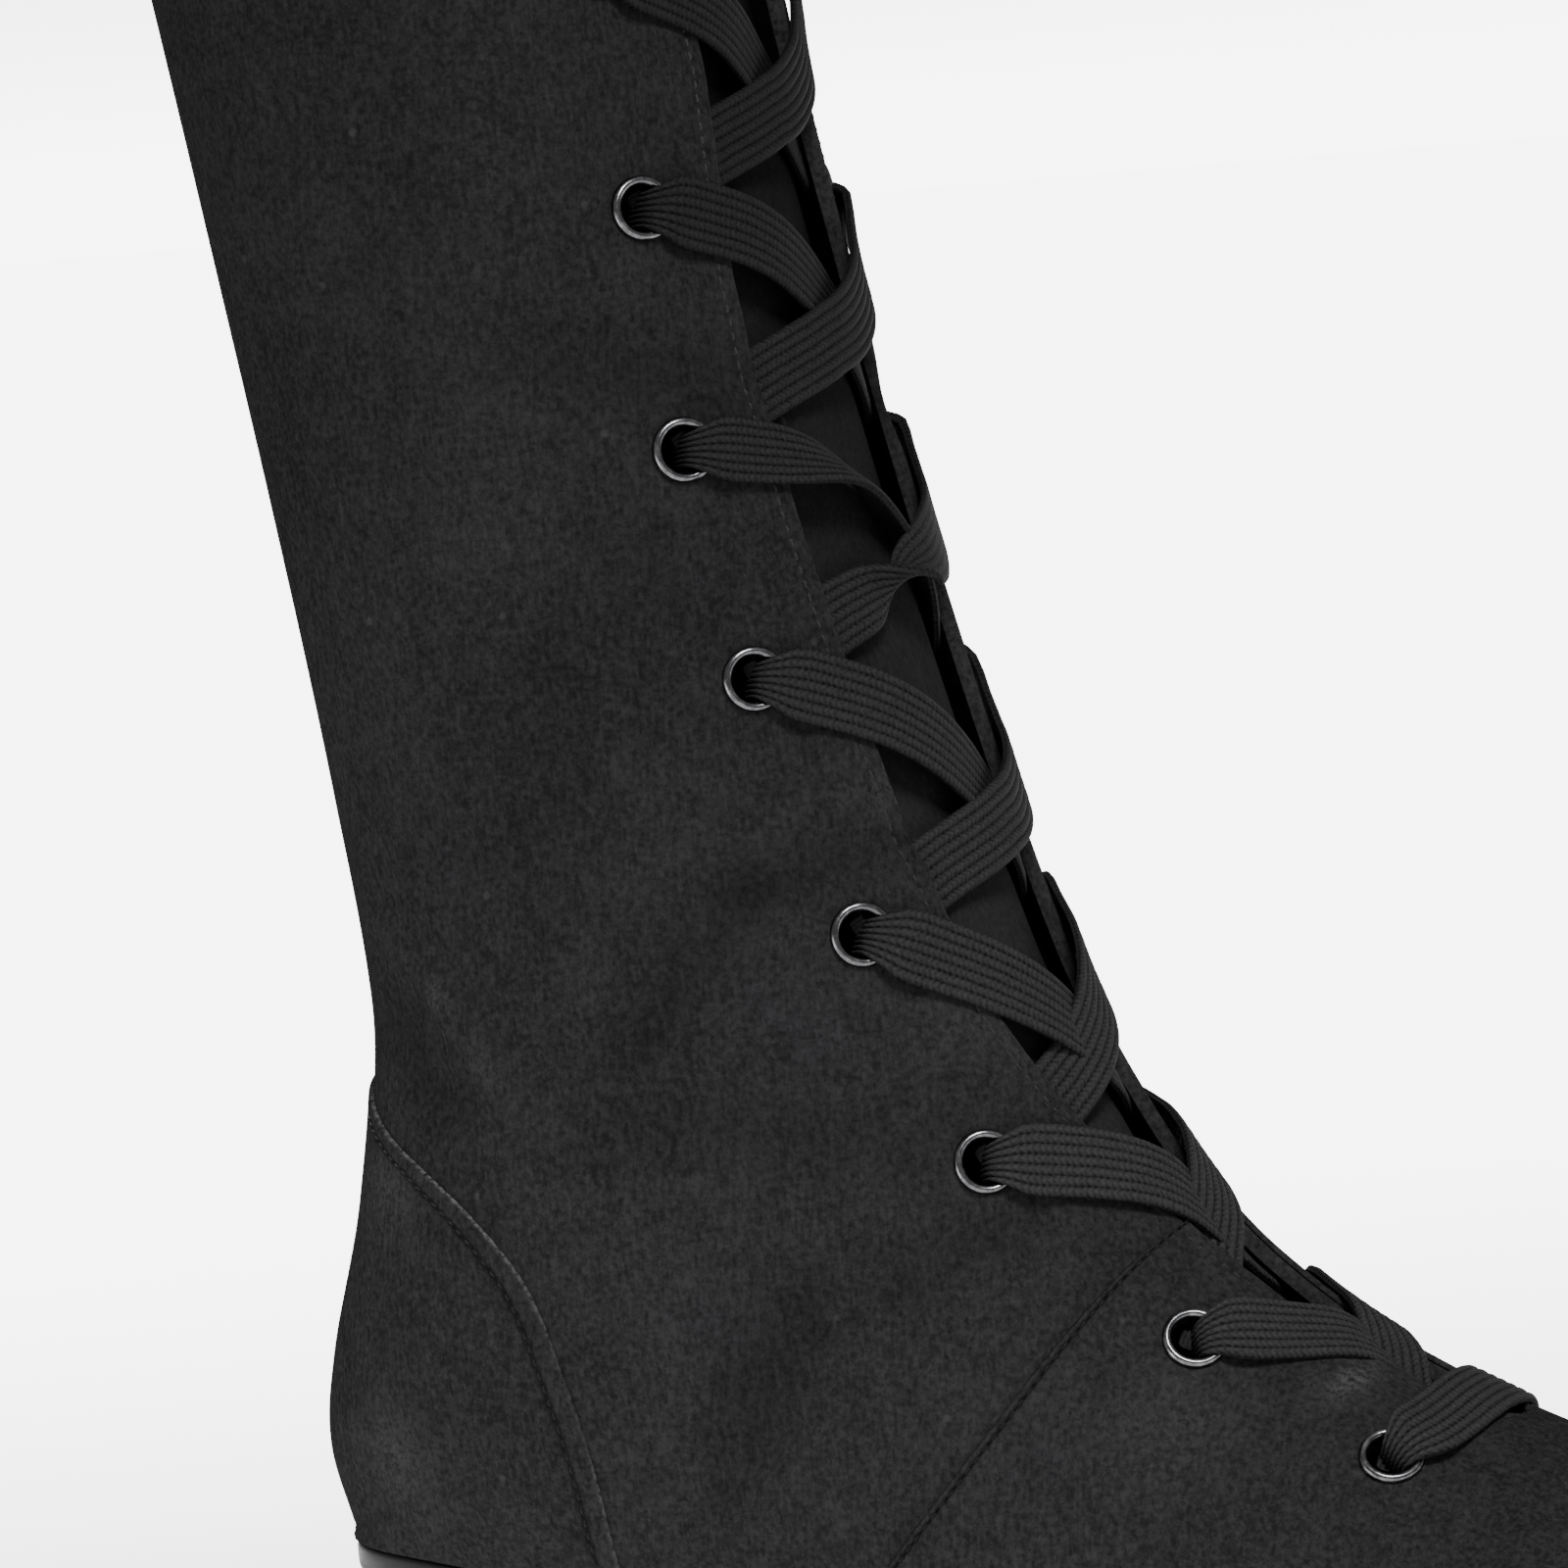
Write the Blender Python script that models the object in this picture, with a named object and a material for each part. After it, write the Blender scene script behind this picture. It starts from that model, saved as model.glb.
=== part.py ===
"""A lace-up jazz boot for the right foot, standing empty on its sole and heel.

The upper is one hollow shell shaped on a last. Its sections fan round from the collar, past
the ankle, to the toe tip, and every other piece is worked out from the same sections.
Metres, +X to the toe, +Y to the inner side of the foot, +Z up from the floor.
"""

import math
from collections import namedtuple

import bmesh
import bpy
import numpy as np
from mathutils import Vector

MM = 0.001

# Sections of the last from the collar to the toe tip, in millimetres and degrees, with x
# from the back of the heel. dorsal is the line down the shin and over the instep. end is the
# line down the back of the leg and then, from the heel seat on, the feather line where the
# upper meets the sole. outer and inner are the half widths of the two sides, wrap is how far
# round its oval a side runs before its end line, and shift moves a section to the inner side.
SECTION_COLUMNS = ("dorsal_x", "dorsal_z", "end_x", "end_z", "outer", "inner", "wrap", "shift")
SECTIONS = (
    ("collar", 63.0, 291.0, -10.8, 279.0, 45.5, 45.5, 180.0, 0.0),
    ("calf", 67.3, 254.0, -5.3, 243.0, 43.0, 43.0, 180.0, 0.0),
    ("upper shaft", 72.9, 221.0, -0.4, 208.0, 40.5, 40.5, 180.0, 0.0),
    ("shaft", 79.6, 190.0, 4.4, 173.0, 38.5, 38.5, 180.0, 0.0),
    ("lower shaft", 87.5, 158.5, 8.3, 140.0, 36.8, 36.8, 180.0, 0.0),
    ("ankle", 94.6, 133.4, 10.4, 112.0, 35.8, 35.6, 180.0, 0.0),
    ("heel neck", 100.6, 115.6, 6.6, 89.0, 35.4, 34.8, 180.0, 0.0),
    ("heel back", 105.4, 104.8, 0.7, 70.0, 35.0, 34.2, 180.0, 0.0),
    ("heel bulge", 109.0, 97.7, -1.4, 58.0, 34.6, 33.6, 180.0, 0.0),
    ("heel seat", 113.0, 90.7, 0.9, 47.0, 34.2, 33.0, 180.0, 0.0),
    ("heel side", 118.2, 83.7, 6.2, 46.6, 33.8, 32.4, 152.0, 0.0),
    ("heel middle", 125.2, 76.3, 22.6, 45.2, 33.0, 31.4, 131.0, 0.0),
    ("heel front", 136.5, 67.4, 50.0, 40.4, 32.4, 30.2, 119.0, 0.0),
    ("waist", 152.5, 58.3, 88.0, 25.6, 33.0, 29.0, 113.0, 0.4),
    ("instep", 170.0, 50.1, 126.0, 11.4, 37.8, 34.4, 110.0, 1.6),
    ("ball", 188.0, 43.0, 160.0, 4.4, 42.8, 41.6, 109.0, 3.2),
    ("toe joint", 205.5, 37.6, 184.0, 4.2, 42.4, 42.0, 108.0, 5.0),
    ("toe box", 222.5, 33.4, 200.0, 4.6, 39.6, 39.8, 103.0, 6.4),
    ("toe front", 238.0, 27.8, 209.0, 5.4, 37.3, 37.7, 92.0, 7.2),
    ("toe wall", 248.5, 19.0, 213.0, 6.0, 37.4, 37.7, 78.0, 7.6),
    ("toe tip", 252.0, 11.4, 214.0, 6.2, 39.8, 40.3, 66.0, 7.6),
)
SECTION_TABLE = np.array([row[1:] for row in SECTIONS])
SECTION_NAMES = [row[0] for row in SECTIONS]
ANKLE = float(SECTION_NAMES.index("ankle"))
HEEL_SEAT = float(SECTION_NAMES.index("heel seat"))
INSTEP = float(SECTION_NAMES.index("instep"))
TOE_TIP = float(SECTION_NAMES.index("toe tip"))
BACK_FULLNESS = 2.3
ORIGIN_X = 121.4
ORIGIN_Y = 1.45

# The open throat between the two facings: half its width at sections of the last. It closes in
# a round end below the lowest eyelets.
Gap = namedtuple("Gap", "section half_width")
THROAT = (
    Gap(0.0, 13.0),
    Gap(1.8, 13.6),
    Gap(2.6, 18.0),
    Gap(3.5, 18.8),
    Gap(4.7, 18.0),
    Gap(5.2, 17.0),
    Gap(6.1, 15.8),
    Gap(7.5, 12.6),
    Gap(9.8, 8.0),
    Gap(11.2, 6.0),
    Gap(12.8, 5.6),
)
THROAT_ROUND_START = 12.8
THROAT_END = 13.4

# Pairs of eyelets from the top down: the section that a pair sits at, and its girth from the
# dorsal line.
Pair = namedtuple("Pair", "section girth")
EYELETS = (
    Pair(0.45, 26.5),
    Pair(1.36, 27.2),
    Pair(2.267, 28.5),
    Pair(3.186, 31.4),
    Pair(4.091, 31.1),
    Pair(5.469, 28.4),
    Pair(8.165, 25.6),
    Pair(11.528, 20.4),
    Pair(13.046, 20.6),
)
FIRST_VAMP_EYELET = 7
EYELET_BORE = 2.5 * MM
EYELET_BARREL = 3.0 * MM
EYELET_FLANGE = 4.1 * MM
EYELET_HEIGHT = 0.75 * MM
EYELET_LIP = 0.7 * EYELET_HEIGHT
EYELET_SIDES = 8
EYELET_HOLE = 3.4 * MM

WALL = 1.8 * MM
OVERLAY = 0.9 * MM
OVERLAY_GAP = 0.55 * MM
GAP = 0.35 * MM
SOLE_GAP = 0.5 * MM
TONGUE_THICKNESS = 1.5 * MM
TONGUE_OVERLAP = 8.0 * MM
TONGUE_TOP = -0.36
TONGUE_SHOULDER = -0.05
TONGUE_ROUNDING = 0.3
TONGUE_END = 14.1
LACE_WIDTH = 9.2 * MM
LACE_THICKNESS = 1.2 * MM
LACE_CLEARANCE = 0.6 * MM
LACE_UNDER = 4.0 * MM
LACE_EDGE_RUN = 3.0 * MM
LACE_CROSSING_LIFT = 0.45 * MM
LACE_STATIONS = 9

# Seen from the side, as (x, z), the cut edges of the two overlays: the vamp's back edge from the
# throat to below the feather line, and the counter's front edge from behind the ankle to below it.
VAMP_EDGE = (
    (130.0, 92.0), (116.9, 81.8), (111.9, 76.8), (105.0, 68.4), (98.1, 59.6), (86.6, 46.3), (66.0, 24.0),
)
COUNTER_EDGE = (
    (4.0, 110.5), (17.5, 100.2), (26.5, 94.6), (34.1, 88.7), (40.7, 80.7), (44.4, 70.0), (47.2, 57.0),
    (48.4, 36.0),
)
OVERLAY_RISE = 3.0
OUTSIDE = 40.0

SOLE_THICKNESS = 3.9 * MM
SOLE_HEEL_MARGIN = 0.3 * MM
SOLE_TOE_MARGIN = 1.6 * MM
SOLE_BEVEL = 0.35 * SOLE_TOE_MARGIN
SOLE_BEVEL_TOP = 0.45
HEEL_BREAST = 12.35
HEEL_BREAST_RAKE = 7.0 * MM
HEEL_BACK_RAKE = 5.0 * MM
HEEL_TAPER = 0.87
HEEL_LEVELS = 4
INSOLE_THICKNESS = 2.4 * MM
INSOLE_INSET = 3.4 * MM

PANEL_COLUMNS = 9
FOOT_STATIONS = 31
TOE_STATIONS = 9
HEEL_STATIONS = 17
BALL_STATION = 18.0
CUTTER_STATIONS = 25
TONGUE_COLUMNS = 7
MERGE = 1e-6
NORMAL_STEP_S = 0.1
NORMAL_STEP_T = 0.02

BLACK_SUEDE = (0.018, 0.018, 0.019)
BLACK_LACE = (0.03, 0.03, 0.03)
BLACK_LINING = (0.02, 0.02, 0.021)
BLACK_SOLE = (0.012, 0.012, 0.012)
GUNMETAL = (0.22, 0.22, 0.23)


# The last

def smooth_curve(rows, s, before=None):
    """Catmull-Rom curve through rows at s = 0, 1, 2 and so on. before is a row ahead of the first."""
    if before is None:
        before = 2 * rows[0] - rows[1]
    after = 2 * rows[-1] - rows[-2]
    rows = np.vstack([before, rows, after])
    first = np.clip(np.floor(s).astype(int), 0, len(rows) - 4)
    u = (s - first)[..., None]
    a, b, c, d = (rows[first + k] for k in range(4))
    return b + 0.5 * u * (c - a + u * (2 * a - 5 * b + 4 * c - d + u * (3 * (b - c) + d - a)))


def table_curve(table, steps):
    """Points at even steps along the smooth curve through a table's rows."""
    rows = np.array(table)
    return smooth_curve(rows, np.linspace(0.0, len(rows) - 1.0, steps + 1))


def section(s):
    """The section of the last at s, as arrays named by column, in millimetres and degrees."""
    s = np.asarray(s, float)
    seat = int(HEEL_SEAT)
    whole = smooth_curve(SECTION_TABLE, s)
    leg = smooth_curve(SECTION_TABLE[: seat + 1], np.minimum(s, HEEL_SEAT))
    mirrored = SECTION_TABLE[seat + 1].copy()
    mirrored[SECTION_COLUMNS.index("wrap")] = 360.0 - mirrored[SECTION_COLUMNS.index("wrap")]
    foot = smooth_curve(SECTION_TABLE[seat:], np.maximum(s - HEEL_SEAT, 0.0), mirrored)
    ends = np.where((s > HEEL_SEAT)[..., None], foot, leg)
    columns = dict(zip(SECTION_COLUMNS, np.moveaxis(whole, -1, 0)))
    for name in ("end_x", "end_z", "wrap"):
        columns[name] = ends[..., SECTION_COLUMNS.index(name)]
    return columns


def oval(angle):
    """(share of the depth, share of the half width) of an oval that is fuller at the back."""
    power = np.where(np.cos(angle) < 0, 2 / BACK_FULLNESS, 1.0)
    cosine, sine = np.cos(angle), np.sin(angle)
    return 1 - np.sign(cosine) * np.abs(cosine) ** power, np.sign(sine) * np.abs(sine) ** power


def last_point(s, t, side):
    """Outer face of the upper at section s. t runs from the dorsal line, 0, to the end line, 1.

    side is -1 for the outer side of the foot and 1 for the inner side.
    """
    s, t = np.broadcast_arrays(np.asarray(s, float), np.asarray(t, float))
    row = section(s)
    wrap = np.radians(row["wrap"])
    depth, width = oval(wrap * t)
    share = depth / oval(wrap)[0]
    x = row["dorsal_x"] + (row["end_x"] - row["dorsal_x"]) * share - ORIGIN_X
    z = row["dorsal_z"] + (row["end_z"] - row["dorsal_z"]) * share
    y = row["shift"] + side * (row["outer"] if side < 0 else row["inner"]) * width - ORIGIN_Y
    return np.stack([x, y, z], -1) * MM


def last_normal(s, t, side):
    """Outward normal of the last, over steps wide enough for the heel seat's close sections."""
    down = last_point(s + NORMAL_STEP_S, t, side) - last_point(s - NORMAL_STEP_S, t, side)
    around = last_point(s, t + NORMAL_STEP_T, side) - last_point(s, t - NORMAL_STEP_T, side)
    normal = side * np.cross(down, around)
    return normal / np.linalg.norm(normal, axis=-1, keepdims=True)


def t_at_girth(s, girth, side):
    """Where on section s, as t, a tape from the dorsal line reads this girth."""
    t = np.linspace(0.0, 1.0, 241)
    line = last_point(np.full_like(t, s), t, side)
    run = np.concatenate([[0.0], np.cumsum(np.linalg.norm(np.diff(line, axis=0), axis=1))])
    return float(np.interp(girth, run, t))


def taped_point(s, girth, lift):
    """(point, normal) at a girth from the dorsal line: below 0 is the outer side, above 0 the inner."""
    side = -1 if girth < 0 else 1
    t = t_at_girth(s, abs(girth), side)
    normal = last_normal(np.float64(s), np.float64(t), side)
    return last_point(s, t, side) + normal * lift, normal


def half_gap(s):
    """Half the throat's width at section s, in metres."""
    width = np.interp(s, [row.section for row in THROAT], [row.half_width for row in THROAT]) * MM
    past = np.clip((s - THROAT_ROUND_START) / (THROAT_END - THROAT_ROUND_START), 0.0, 1.0)
    return float(width * math.sqrt(1.0 - past * past))


def throat_t(s, side):
    return t_at_girth(s, half_gap(s), side)


def feather_height(x):
    """Height of the feather line at x."""
    foot = last_point(np.linspace(HEEL_SEAT, TOE_TIP, 121), 1.0, 1)
    toe = last_point(TOE_TIP, np.linspace(1.0, 0.0, 41), 1)
    return np.interp(x, np.concatenate([foot[:, 0], toe[:, 0]]), np.concatenate([foot[:, 2], toe[:, 2]]))


# Building meshes

def material(name, colour, roughness, metallic=0.0):
    made = bpy.data.materials.new(name)
    made.use_nodes = True
    shader = made.node_tree.nodes["Principled BSDF"]
    shader.inputs["Base Color"].default_value = (*colour, 1.0)
    shader.inputs["Roughness"].default_value = roughness
    shader.inputs["Metallic"].default_value = metallic
    return made


def add_object(name, mesh, finish, boot):
    mesh.materials.append(finish)
    mesh.shade_smooth()
    mesh.set_sharp_from_angle(angle=math.radians(40))
    made = bpy.data.objects.new(name, mesh)
    made.parent = boot
    bpy.context.scene.collection.objects.link(made)
    return made


def mesh_from(name, bm):
    """The bmesh as a new mesh, with doubled points merged."""
    bmesh.ops.remove_doubles(bm, verts=bm.verts, dist=MERGE)
    bmesh.ops.dissolve_degenerate(bm, edges=bm.edges, dist=MERGE)
    mesh = bpy.data.meshes.new(name)
    bm.to_mesh(mesh)
    bm.free()
    return mesh


def add_helper(name, mesh, boot):
    """A cutter or other helper, which isn't a piece of the boot."""
    made = bpy.data.objects.new(name, mesh)
    made.parent = boot
    made.hide_render = True
    made.display_type = "WIRE"
    bpy.context.scene.collection.objects.link(made)
    return made


def add_boolean(target, other, operation):
    cut = target.modifiers.new(operation.lower(), "BOOLEAN")
    cut.operation = operation
    cut.object = other
    cut.solver = "EXACT"
    cut.use_self = operation == "INTERSECT"


def grid_faces(bm, points, flip):
    """Quads over a grid of points."""
    verts = [[bm.verts.new(p) for p in row] for row in points]
    for upper, lower in zip(verts, verts[1:]):
        for k in range(len(upper) - 1):
            corners = [upper[k], lower[k], lower[k + 1], upper[k + 1]]
            bm.faces.new(corners[::-1] if flip else corners)


def panel_mesh(name, s_and_t):
    """Both sides of a panel of the upper as one sheet. s_and_t gives a side's grids of s and t."""
    bm = bmesh.new()
    for side in (-1, 1):
        s, t = s_and_t(side)
        grid_faces(bm, last_point(s, t, side), flip=side < 0)
    bmesh.ops.triangulate(bm, faces=bm.faces, quad_method="SHORT_EDGE")
    return mesh_from(name, bm)


def thicken(made, low, high):
    """Turn a sheet into a wall between two distances from it, outward above 0."""
    wall = made.modifiers.new("wall", "SOLIDIFY")
    wall.thickness = high - low
    wall.offset = (high + low) / (high - low)
    wall.use_even_offset = True
    wall.use_quality_normals = True
    depsgraph = bpy.context.evaluated_depsgraph_get()
    made.data = bpy.data.meshes.new_from_object(made.evaluated_get(depsgraph))
    made.modifiers.remove(wall)


def trim_to_feather(made):
    """Bring a wall's rim up to the feather line where it hangs lower, so that it sits over the sole."""
    points = np.empty(3 * len(made.data.vertices))
    made.data.vertices.foreach_get("co", points)
    points = points.reshape(-1, 3)
    points[:, 2] = np.maximum(points[:, 2], feather_height(points[:, 0]))
    made.data.vertices.foreach_set("co", points.ravel())


# Upper, with its overlays

def upper_rows():
    """Sections that the upper's mesh runs through, closer together round the heel and the toe."""
    leg = np.linspace(0.0, ANKLE, 9)[:-1]
    heel = np.linspace(ANKLE, THROAT_ROUND_START, 14)[:-1]
    throat = np.linspace(THROAT_ROUND_START, THROAT_END, 4)
    foot = np.linspace(THROAT_END, TOE_TIP, 12)[1:]
    return np.concatenate([leg, heel, throat, foot])


def upper_grid(side):
    rows = upper_rows()
    across = np.linspace(0.0, 1.0, PANEL_COLUMNS + 1)
    t = np.array([throat_t(s, side) + (1 - throat_t(s, side)) * across for s in rows])
    return np.repeat(rows[:, None], len(across), axis=1), t


def overlay_grid(first, last):
    """The upper's own grid between two sections, so that an overlay lies level with the upper."""
    def grid(side):
        s, t = upper_grid(side)
        kept = (s[:, 0] >= first) & (s[:, 0] <= last)
        return s[kept], t[kept]
    return grid


def side_profile(edge, far_x):
    """Side view of what lies between a cut edge and far_x, down to just above the feather line."""
    curve = table_curve(edge, 4 * len(edge))
    foot = feather_height((curve[:, 0] - ORIGIN_X) * MM) / MM + OVERLAY_RISE
    curve = curve[curve[:, 1] > foot]
    along = np.linspace(curve[-1, 0], far_x, CUTTER_STATIONS)
    base = feather_height((along - ORIGIN_X) * MM) / MM + OVERLAY_RISE
    corner = (far_x, curve[0, 1])
    return [tuple(p) for p in curve] + list(zip(along, base)) + [corner]


def overlay_cutter(name, outline, boot):
    """A helper: the outline run right across the boot."""
    bm = bmesh.new()
    across = SECTION_TABLE[:, SECTION_COLUMNS.index("outer")].max() + OUTSIDE
    verts = [bm.verts.new(((x - ORIGIN_X) * MM, -across * MM, z * MM)) for x, z in outline]
    face = bm.faces.new(verts)
    run = bmesh.ops.extrude_face_region(bm, geom=[face])
    moved = [item for item in run["geom"] if isinstance(item, bmesh.types.BMVert)]
    bmesh.ops.translate(bm, verts=moved, vec=(0.0, 2 * across * MM, 0.0))
    bmesh.ops.recalc_face_normals(bm, faces=bm.faces)
    return add_helper(name, mesh_from(name, bm), boot)


def build_upper(boot, suede, holes):
    upper = add_object("upper", panel_mesh("upper", upper_grid), suede, boot)
    thicken(upper, -WALL, 0.0)
    trim_to_feather(upper)
    add_boolean(upper, holes, "DIFFERENCE")


def build_overlay(name, boot, suede, sections, edge, far_x):
    overlay = add_object(name, panel_mesh(name, overlay_grid(*sections)), suede, boot)
    thicken(overlay, OVERLAY_GAP, OVERLAY_GAP + OVERLAY)
    cutter = overlay_cutter(f"{name}_cutter", side_profile(edge, far_x), boot)
    add_boolean(overlay, cutter, "INTERSECT")
    return overlay


def build_overlays(boot, suede, holes):
    heel_back = SECTION_TABLE[:, SECTION_COLUMNS.index("end_x")].min()
    toe = SECTION_TABLE[:, SECTION_COLUMNS.index("dorsal_x")].max()
    build_overlay("counter", boot, suede, (ANKLE - 1, INSTEP), COUNTER_EDGE, heel_back - OUTSIDE)
    vamp = build_overlay("vamp", boot, suede, (ANKLE, TOE_TIP), VAMP_EDGE, toe + OUTSIDE)
    add_boolean(vamp, holes, "DIFFERENCE")


def tongue_reach(s):
    """How far the tongue reaches each side of the dorsal line. Its top corners are round."""
    past = np.clip((TONGUE_SHOULDER - s) / (TONGUE_SHOULDER - TONGUE_TOP), 0.0, 1.0)
    return (half_gap(s) + TONGUE_OVERLAP) * (1.0 - TONGUE_ROUNDING * past * past)


def tongue_depth(s):
    """How far under the last the tongue lies: below the lace, and at its foot against the upper."""
    under_lace = WALL + 2 * LACE_CLEARANCE + LACE_THICKNESS
    foot = np.clip((s - THROAT_ROUND_START) / (TONGUE_END - THROAT_ROUND_START), 0.0, 1.0)
    return under_lace + (WALL + GAP - under_lace) * foot


def build_tongue(boot, lining):
    top = np.linspace(TONGUE_TOP, TONGUE_SHOULDER, 4)[:-1]
    shin = np.linspace(TONGUE_SHOULDER, ANKLE, 8)[:-1]
    instep = np.linspace(ANKLE, TONGUE_END, 14)
    bm = bmesh.new()
    points = []
    for s in np.concatenate([top, shin, instep]):
        girths = tongue_reach(s) * np.linspace(-1.0, 1.0, TONGUE_COLUMNS)
        points.append([taped_point(s, girth, -tongue_depth(s))[0] for girth in girths])
    grid_faces(bm, points, flip=False)
    tongue = add_object("tongue", mesh_from("tongue", bm), lining, boot)
    thicken(tongue, -TONGUE_THICKNESS, 0.0)


# Eyelets

def eyelet_lift(pair):
    """How far the face that a pair of eyelets sits on stands off the last."""
    return OVERLAY_GAP + OVERLAY if pair >= FIRST_VAMP_EYELET else 0.0


def eyelet_girth(pair):
    return EYELETS[pair].girth * MM


def eyelet_frame(pair, side):
    """Place of an eyelet: its z axis is the outward normal, and it sits on the face around its hole."""
    place, normal = taped_point(EYELETS[pair].section, side * eyelet_girth(pair), eyelet_lift(pair))
    frame = Vector(normal).to_track_quat("Z", "Y").to_matrix().to_4x4()
    frame.translation = Vector(place)
    return frame


def eyelet_mesh(lift):
    """A turned ring: a rolled flange on the facing and a barrel through the wall."""
    profile = (
        (EYELET_BORE, EYELET_LIP + GAP),
        (0.5 * (EYELET_BORE + EYELET_FLANGE), EYELET_HEIGHT + GAP),
        (EYELET_FLANGE, GAP),
        (EYELET_BARREL, GAP),
        (EYELET_BARREL, -lift - WALL),
        (EYELET_BORE, -lift - WALL),
    )
    bm = bmesh.new()
    verts = [bm.verts.new((radius, 0.0, height)) for radius, height in profile]
    edges = [bm.edges.new(pair) for pair in zip(verts, verts[1:] + verts[:1])]
    bmesh.ops.spin(
        bm, geom=verts + edges, cent=(0, 0, 0), axis=(0, 0, 1), angle=2 * math.pi,
        steps=EYELET_SIDES, use_merge=True,
    )
    bmesh.ops.recalc_face_normals(bm, faces=bm.faces)
    return mesh_from("eyelet", bm)


def build_eyelets(boot, metal):
    meshes = {lift: eyelet_mesh(lift) for lift in {eyelet_lift(p) for p in range(len(EYELETS))}}
    for pair in range(len(EYELETS)):
        for side, word in ((-1, "outer"), (1, "inner")):
            made = add_object(f"eyelet_{word}_{pair + 1}", meshes[eyelet_lift(pair)].copy(), metal, boot)
            made.matrix_local = eyelet_frame(pair, side)


def eyelet_holes(boot):
    """One helper with a short round bar at each eyelet, which cuts the holes."""
    bm = bmesh.new()
    for pair in range(len(EYELETS)):
        for side in (-1, 1):
            bmesh.ops.create_cone(
                bm, cap_ends=True, segments=EYELET_SIDES, radius1=EYELET_HOLE, radius2=EYELET_HOLE,
                depth=8 * WALL, matrix=eyelet_frame(pair, side),
            )
    return add_helper("eyelet_holes", mesh_from("eyelet_holes", bm), boot)


# Lace

def strip_mesh(name, points, normals):
    """A flat lace along a path: four corners at each point, skinned and closed at both ends."""
    points, normals = np.array(points), np.array(normals)
    forward = np.gradient(points, axis=0)
    across = np.cross(normals, forward)
    across *= 0.5 * LACE_WIDTH / np.linalg.norm(across, axis=1, keepdims=True)
    up = np.cross(forward, across)
    up *= 0.5 * LACE_THICKNESS / np.linalg.norm(up, axis=1, keepdims=True)
    bm = bmesh.new()
    left, right = points + across, points - across
    corners = np.stack([left + up, right + up, right - up, left - up], 1)
    rings = [[bm.verts.new(corner) for corner in ring] for ring in corners]
    for near, far in zip(rings, rings[1:]):
        for k in range(4):
            bm.faces.new([near[k], near[(k + 1) % 4], far[(k + 1) % 4], far[k]])
    bm.faces.new(rings[0][::-1])
    bm.faces.new(rings[-1])
    bmesh.ops.recalc_face_normals(bm, faces=bm.faces)
    return mesh_from(name, bm)


def crossing_path(pair, over_side):
    """A lace from under the facing at the lower pair to over the facing at this pair, on over_side."""
    low, high = EYELETS[pair + 1].section, EYELETS[pair].section
    low_girth, high_girth = eyelet_girth(pair + 1), eyelet_girth(pair)
    start = -(half_gap(low + 0.25 * (high - low)) + LACE_UNDER)
    end = high_girth - EYELET_FLANGE - LACE_CLEARANCE
    under = -(WALL + LACE_CLEARANCE + 0.5 * LACE_THICKNESS)
    over = eyelet_lift(pair + 1) + LACE_CLEARANCE + 0.5 * LACE_THICKNESS
    points, normals = [], []
    for girth in np.linspace(start, end, LACE_STATIONS):
        s = low + (high - low) * (girth + low_girth) / (low_girth + high_girth)
        gap = half_gap(s)
        share = np.clip((girth + gap - LACE_EDGE_RUN) / (2 * gap - 2 * LACE_EDGE_RUN), 0.0, 1.0)
        lift = under + (over - under) * share * share * (3 - 2 * share)
        lift += over_side * LACE_CROSSING_LIFT * math.exp(-((girth / (0.5 * gap)) ** 2))
        point, normal = taped_point(s, over_side * girth, lift)
        points.append(point)
        normals.append(normal)
    return points, normals


def build_lace(boot, cloth):
    """Each crossing is two strips joined where they cross. The lowest pair carries a straight bar."""
    last_pair = len(EYELETS) - 1
    for pair in range(last_pair):
        name = f"lace_crossing_{pair + 1}"
        top = add_object(name, strip_mesh(name, *crossing_path(pair, 1)), cloth, boot)
        below = add_helper(f"{name}_other_strip", strip_mesh(name, *crossing_path(pair, -1)), boot)
        add_boolean(top, below, "UNION")
    reach = eyelet_girth(last_pair) - EYELET_FLANGE - LACE_CLEARANCE
    lift = eyelet_lift(last_pair) + LACE_CLEARANCE + 0.5 * LACE_THICKNESS
    girths = np.linspace(-reach, reach, LACE_STATIONS)
    path = [taped_point(EYELETS[last_pair].section, girth, lift) for girth in girths]
    add_object("lace_bar", strip_mesh("lace_bar", *zip(*path)), cloth, boot)


# Sole, heel and insole

def feather_line(first, last, count):
    """Stations along the feather line from section first to last: (outer points, inner points)."""
    s = np.linspace(first, last, count)
    return last_point(s, 1.0, -1), last_point(s, 1.0, 1)


def sole_stations():
    """Feather line stations from the heel's back to the toe tip, then round the toe."""
    outer, inner = feather_line(HEEL_SEAT, TOE_TIP, FOOT_STATIONS)
    round_toe = np.linspace(1.0, 0.0, TOE_STATIONS)[1:]
    toe_outer, toe_inner = last_point(TOE_TIP, round_toe, -1), last_point(TOE_TIP, round_toe, 1)
    return np.concatenate([outer, toe_outer]), np.concatenate([inner, toe_inner])


def spread(outer, inner, margins):
    """Stations moved outward in plan, square to the outline, by a margin each."""
    outline = np.concatenate([outer, inner[-2:0:-1]])
    forward = np.roll(outline, -1, axis=0) - np.roll(outline, 1, axis=0)
    sideways = np.stack([forward[:, 1], -forward[:, 0], np.zeros(len(outline))], -1)
    sideways /= np.linalg.norm(sideways, axis=1, keepdims=True)
    moved = outline + sideways * np.concatenate([margins, margins[-2:0:-1]])[:, None]
    return moved[: len(outer)], np.vstack([moved[:1], moved[: len(outer) - 2 : -1]])


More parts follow.
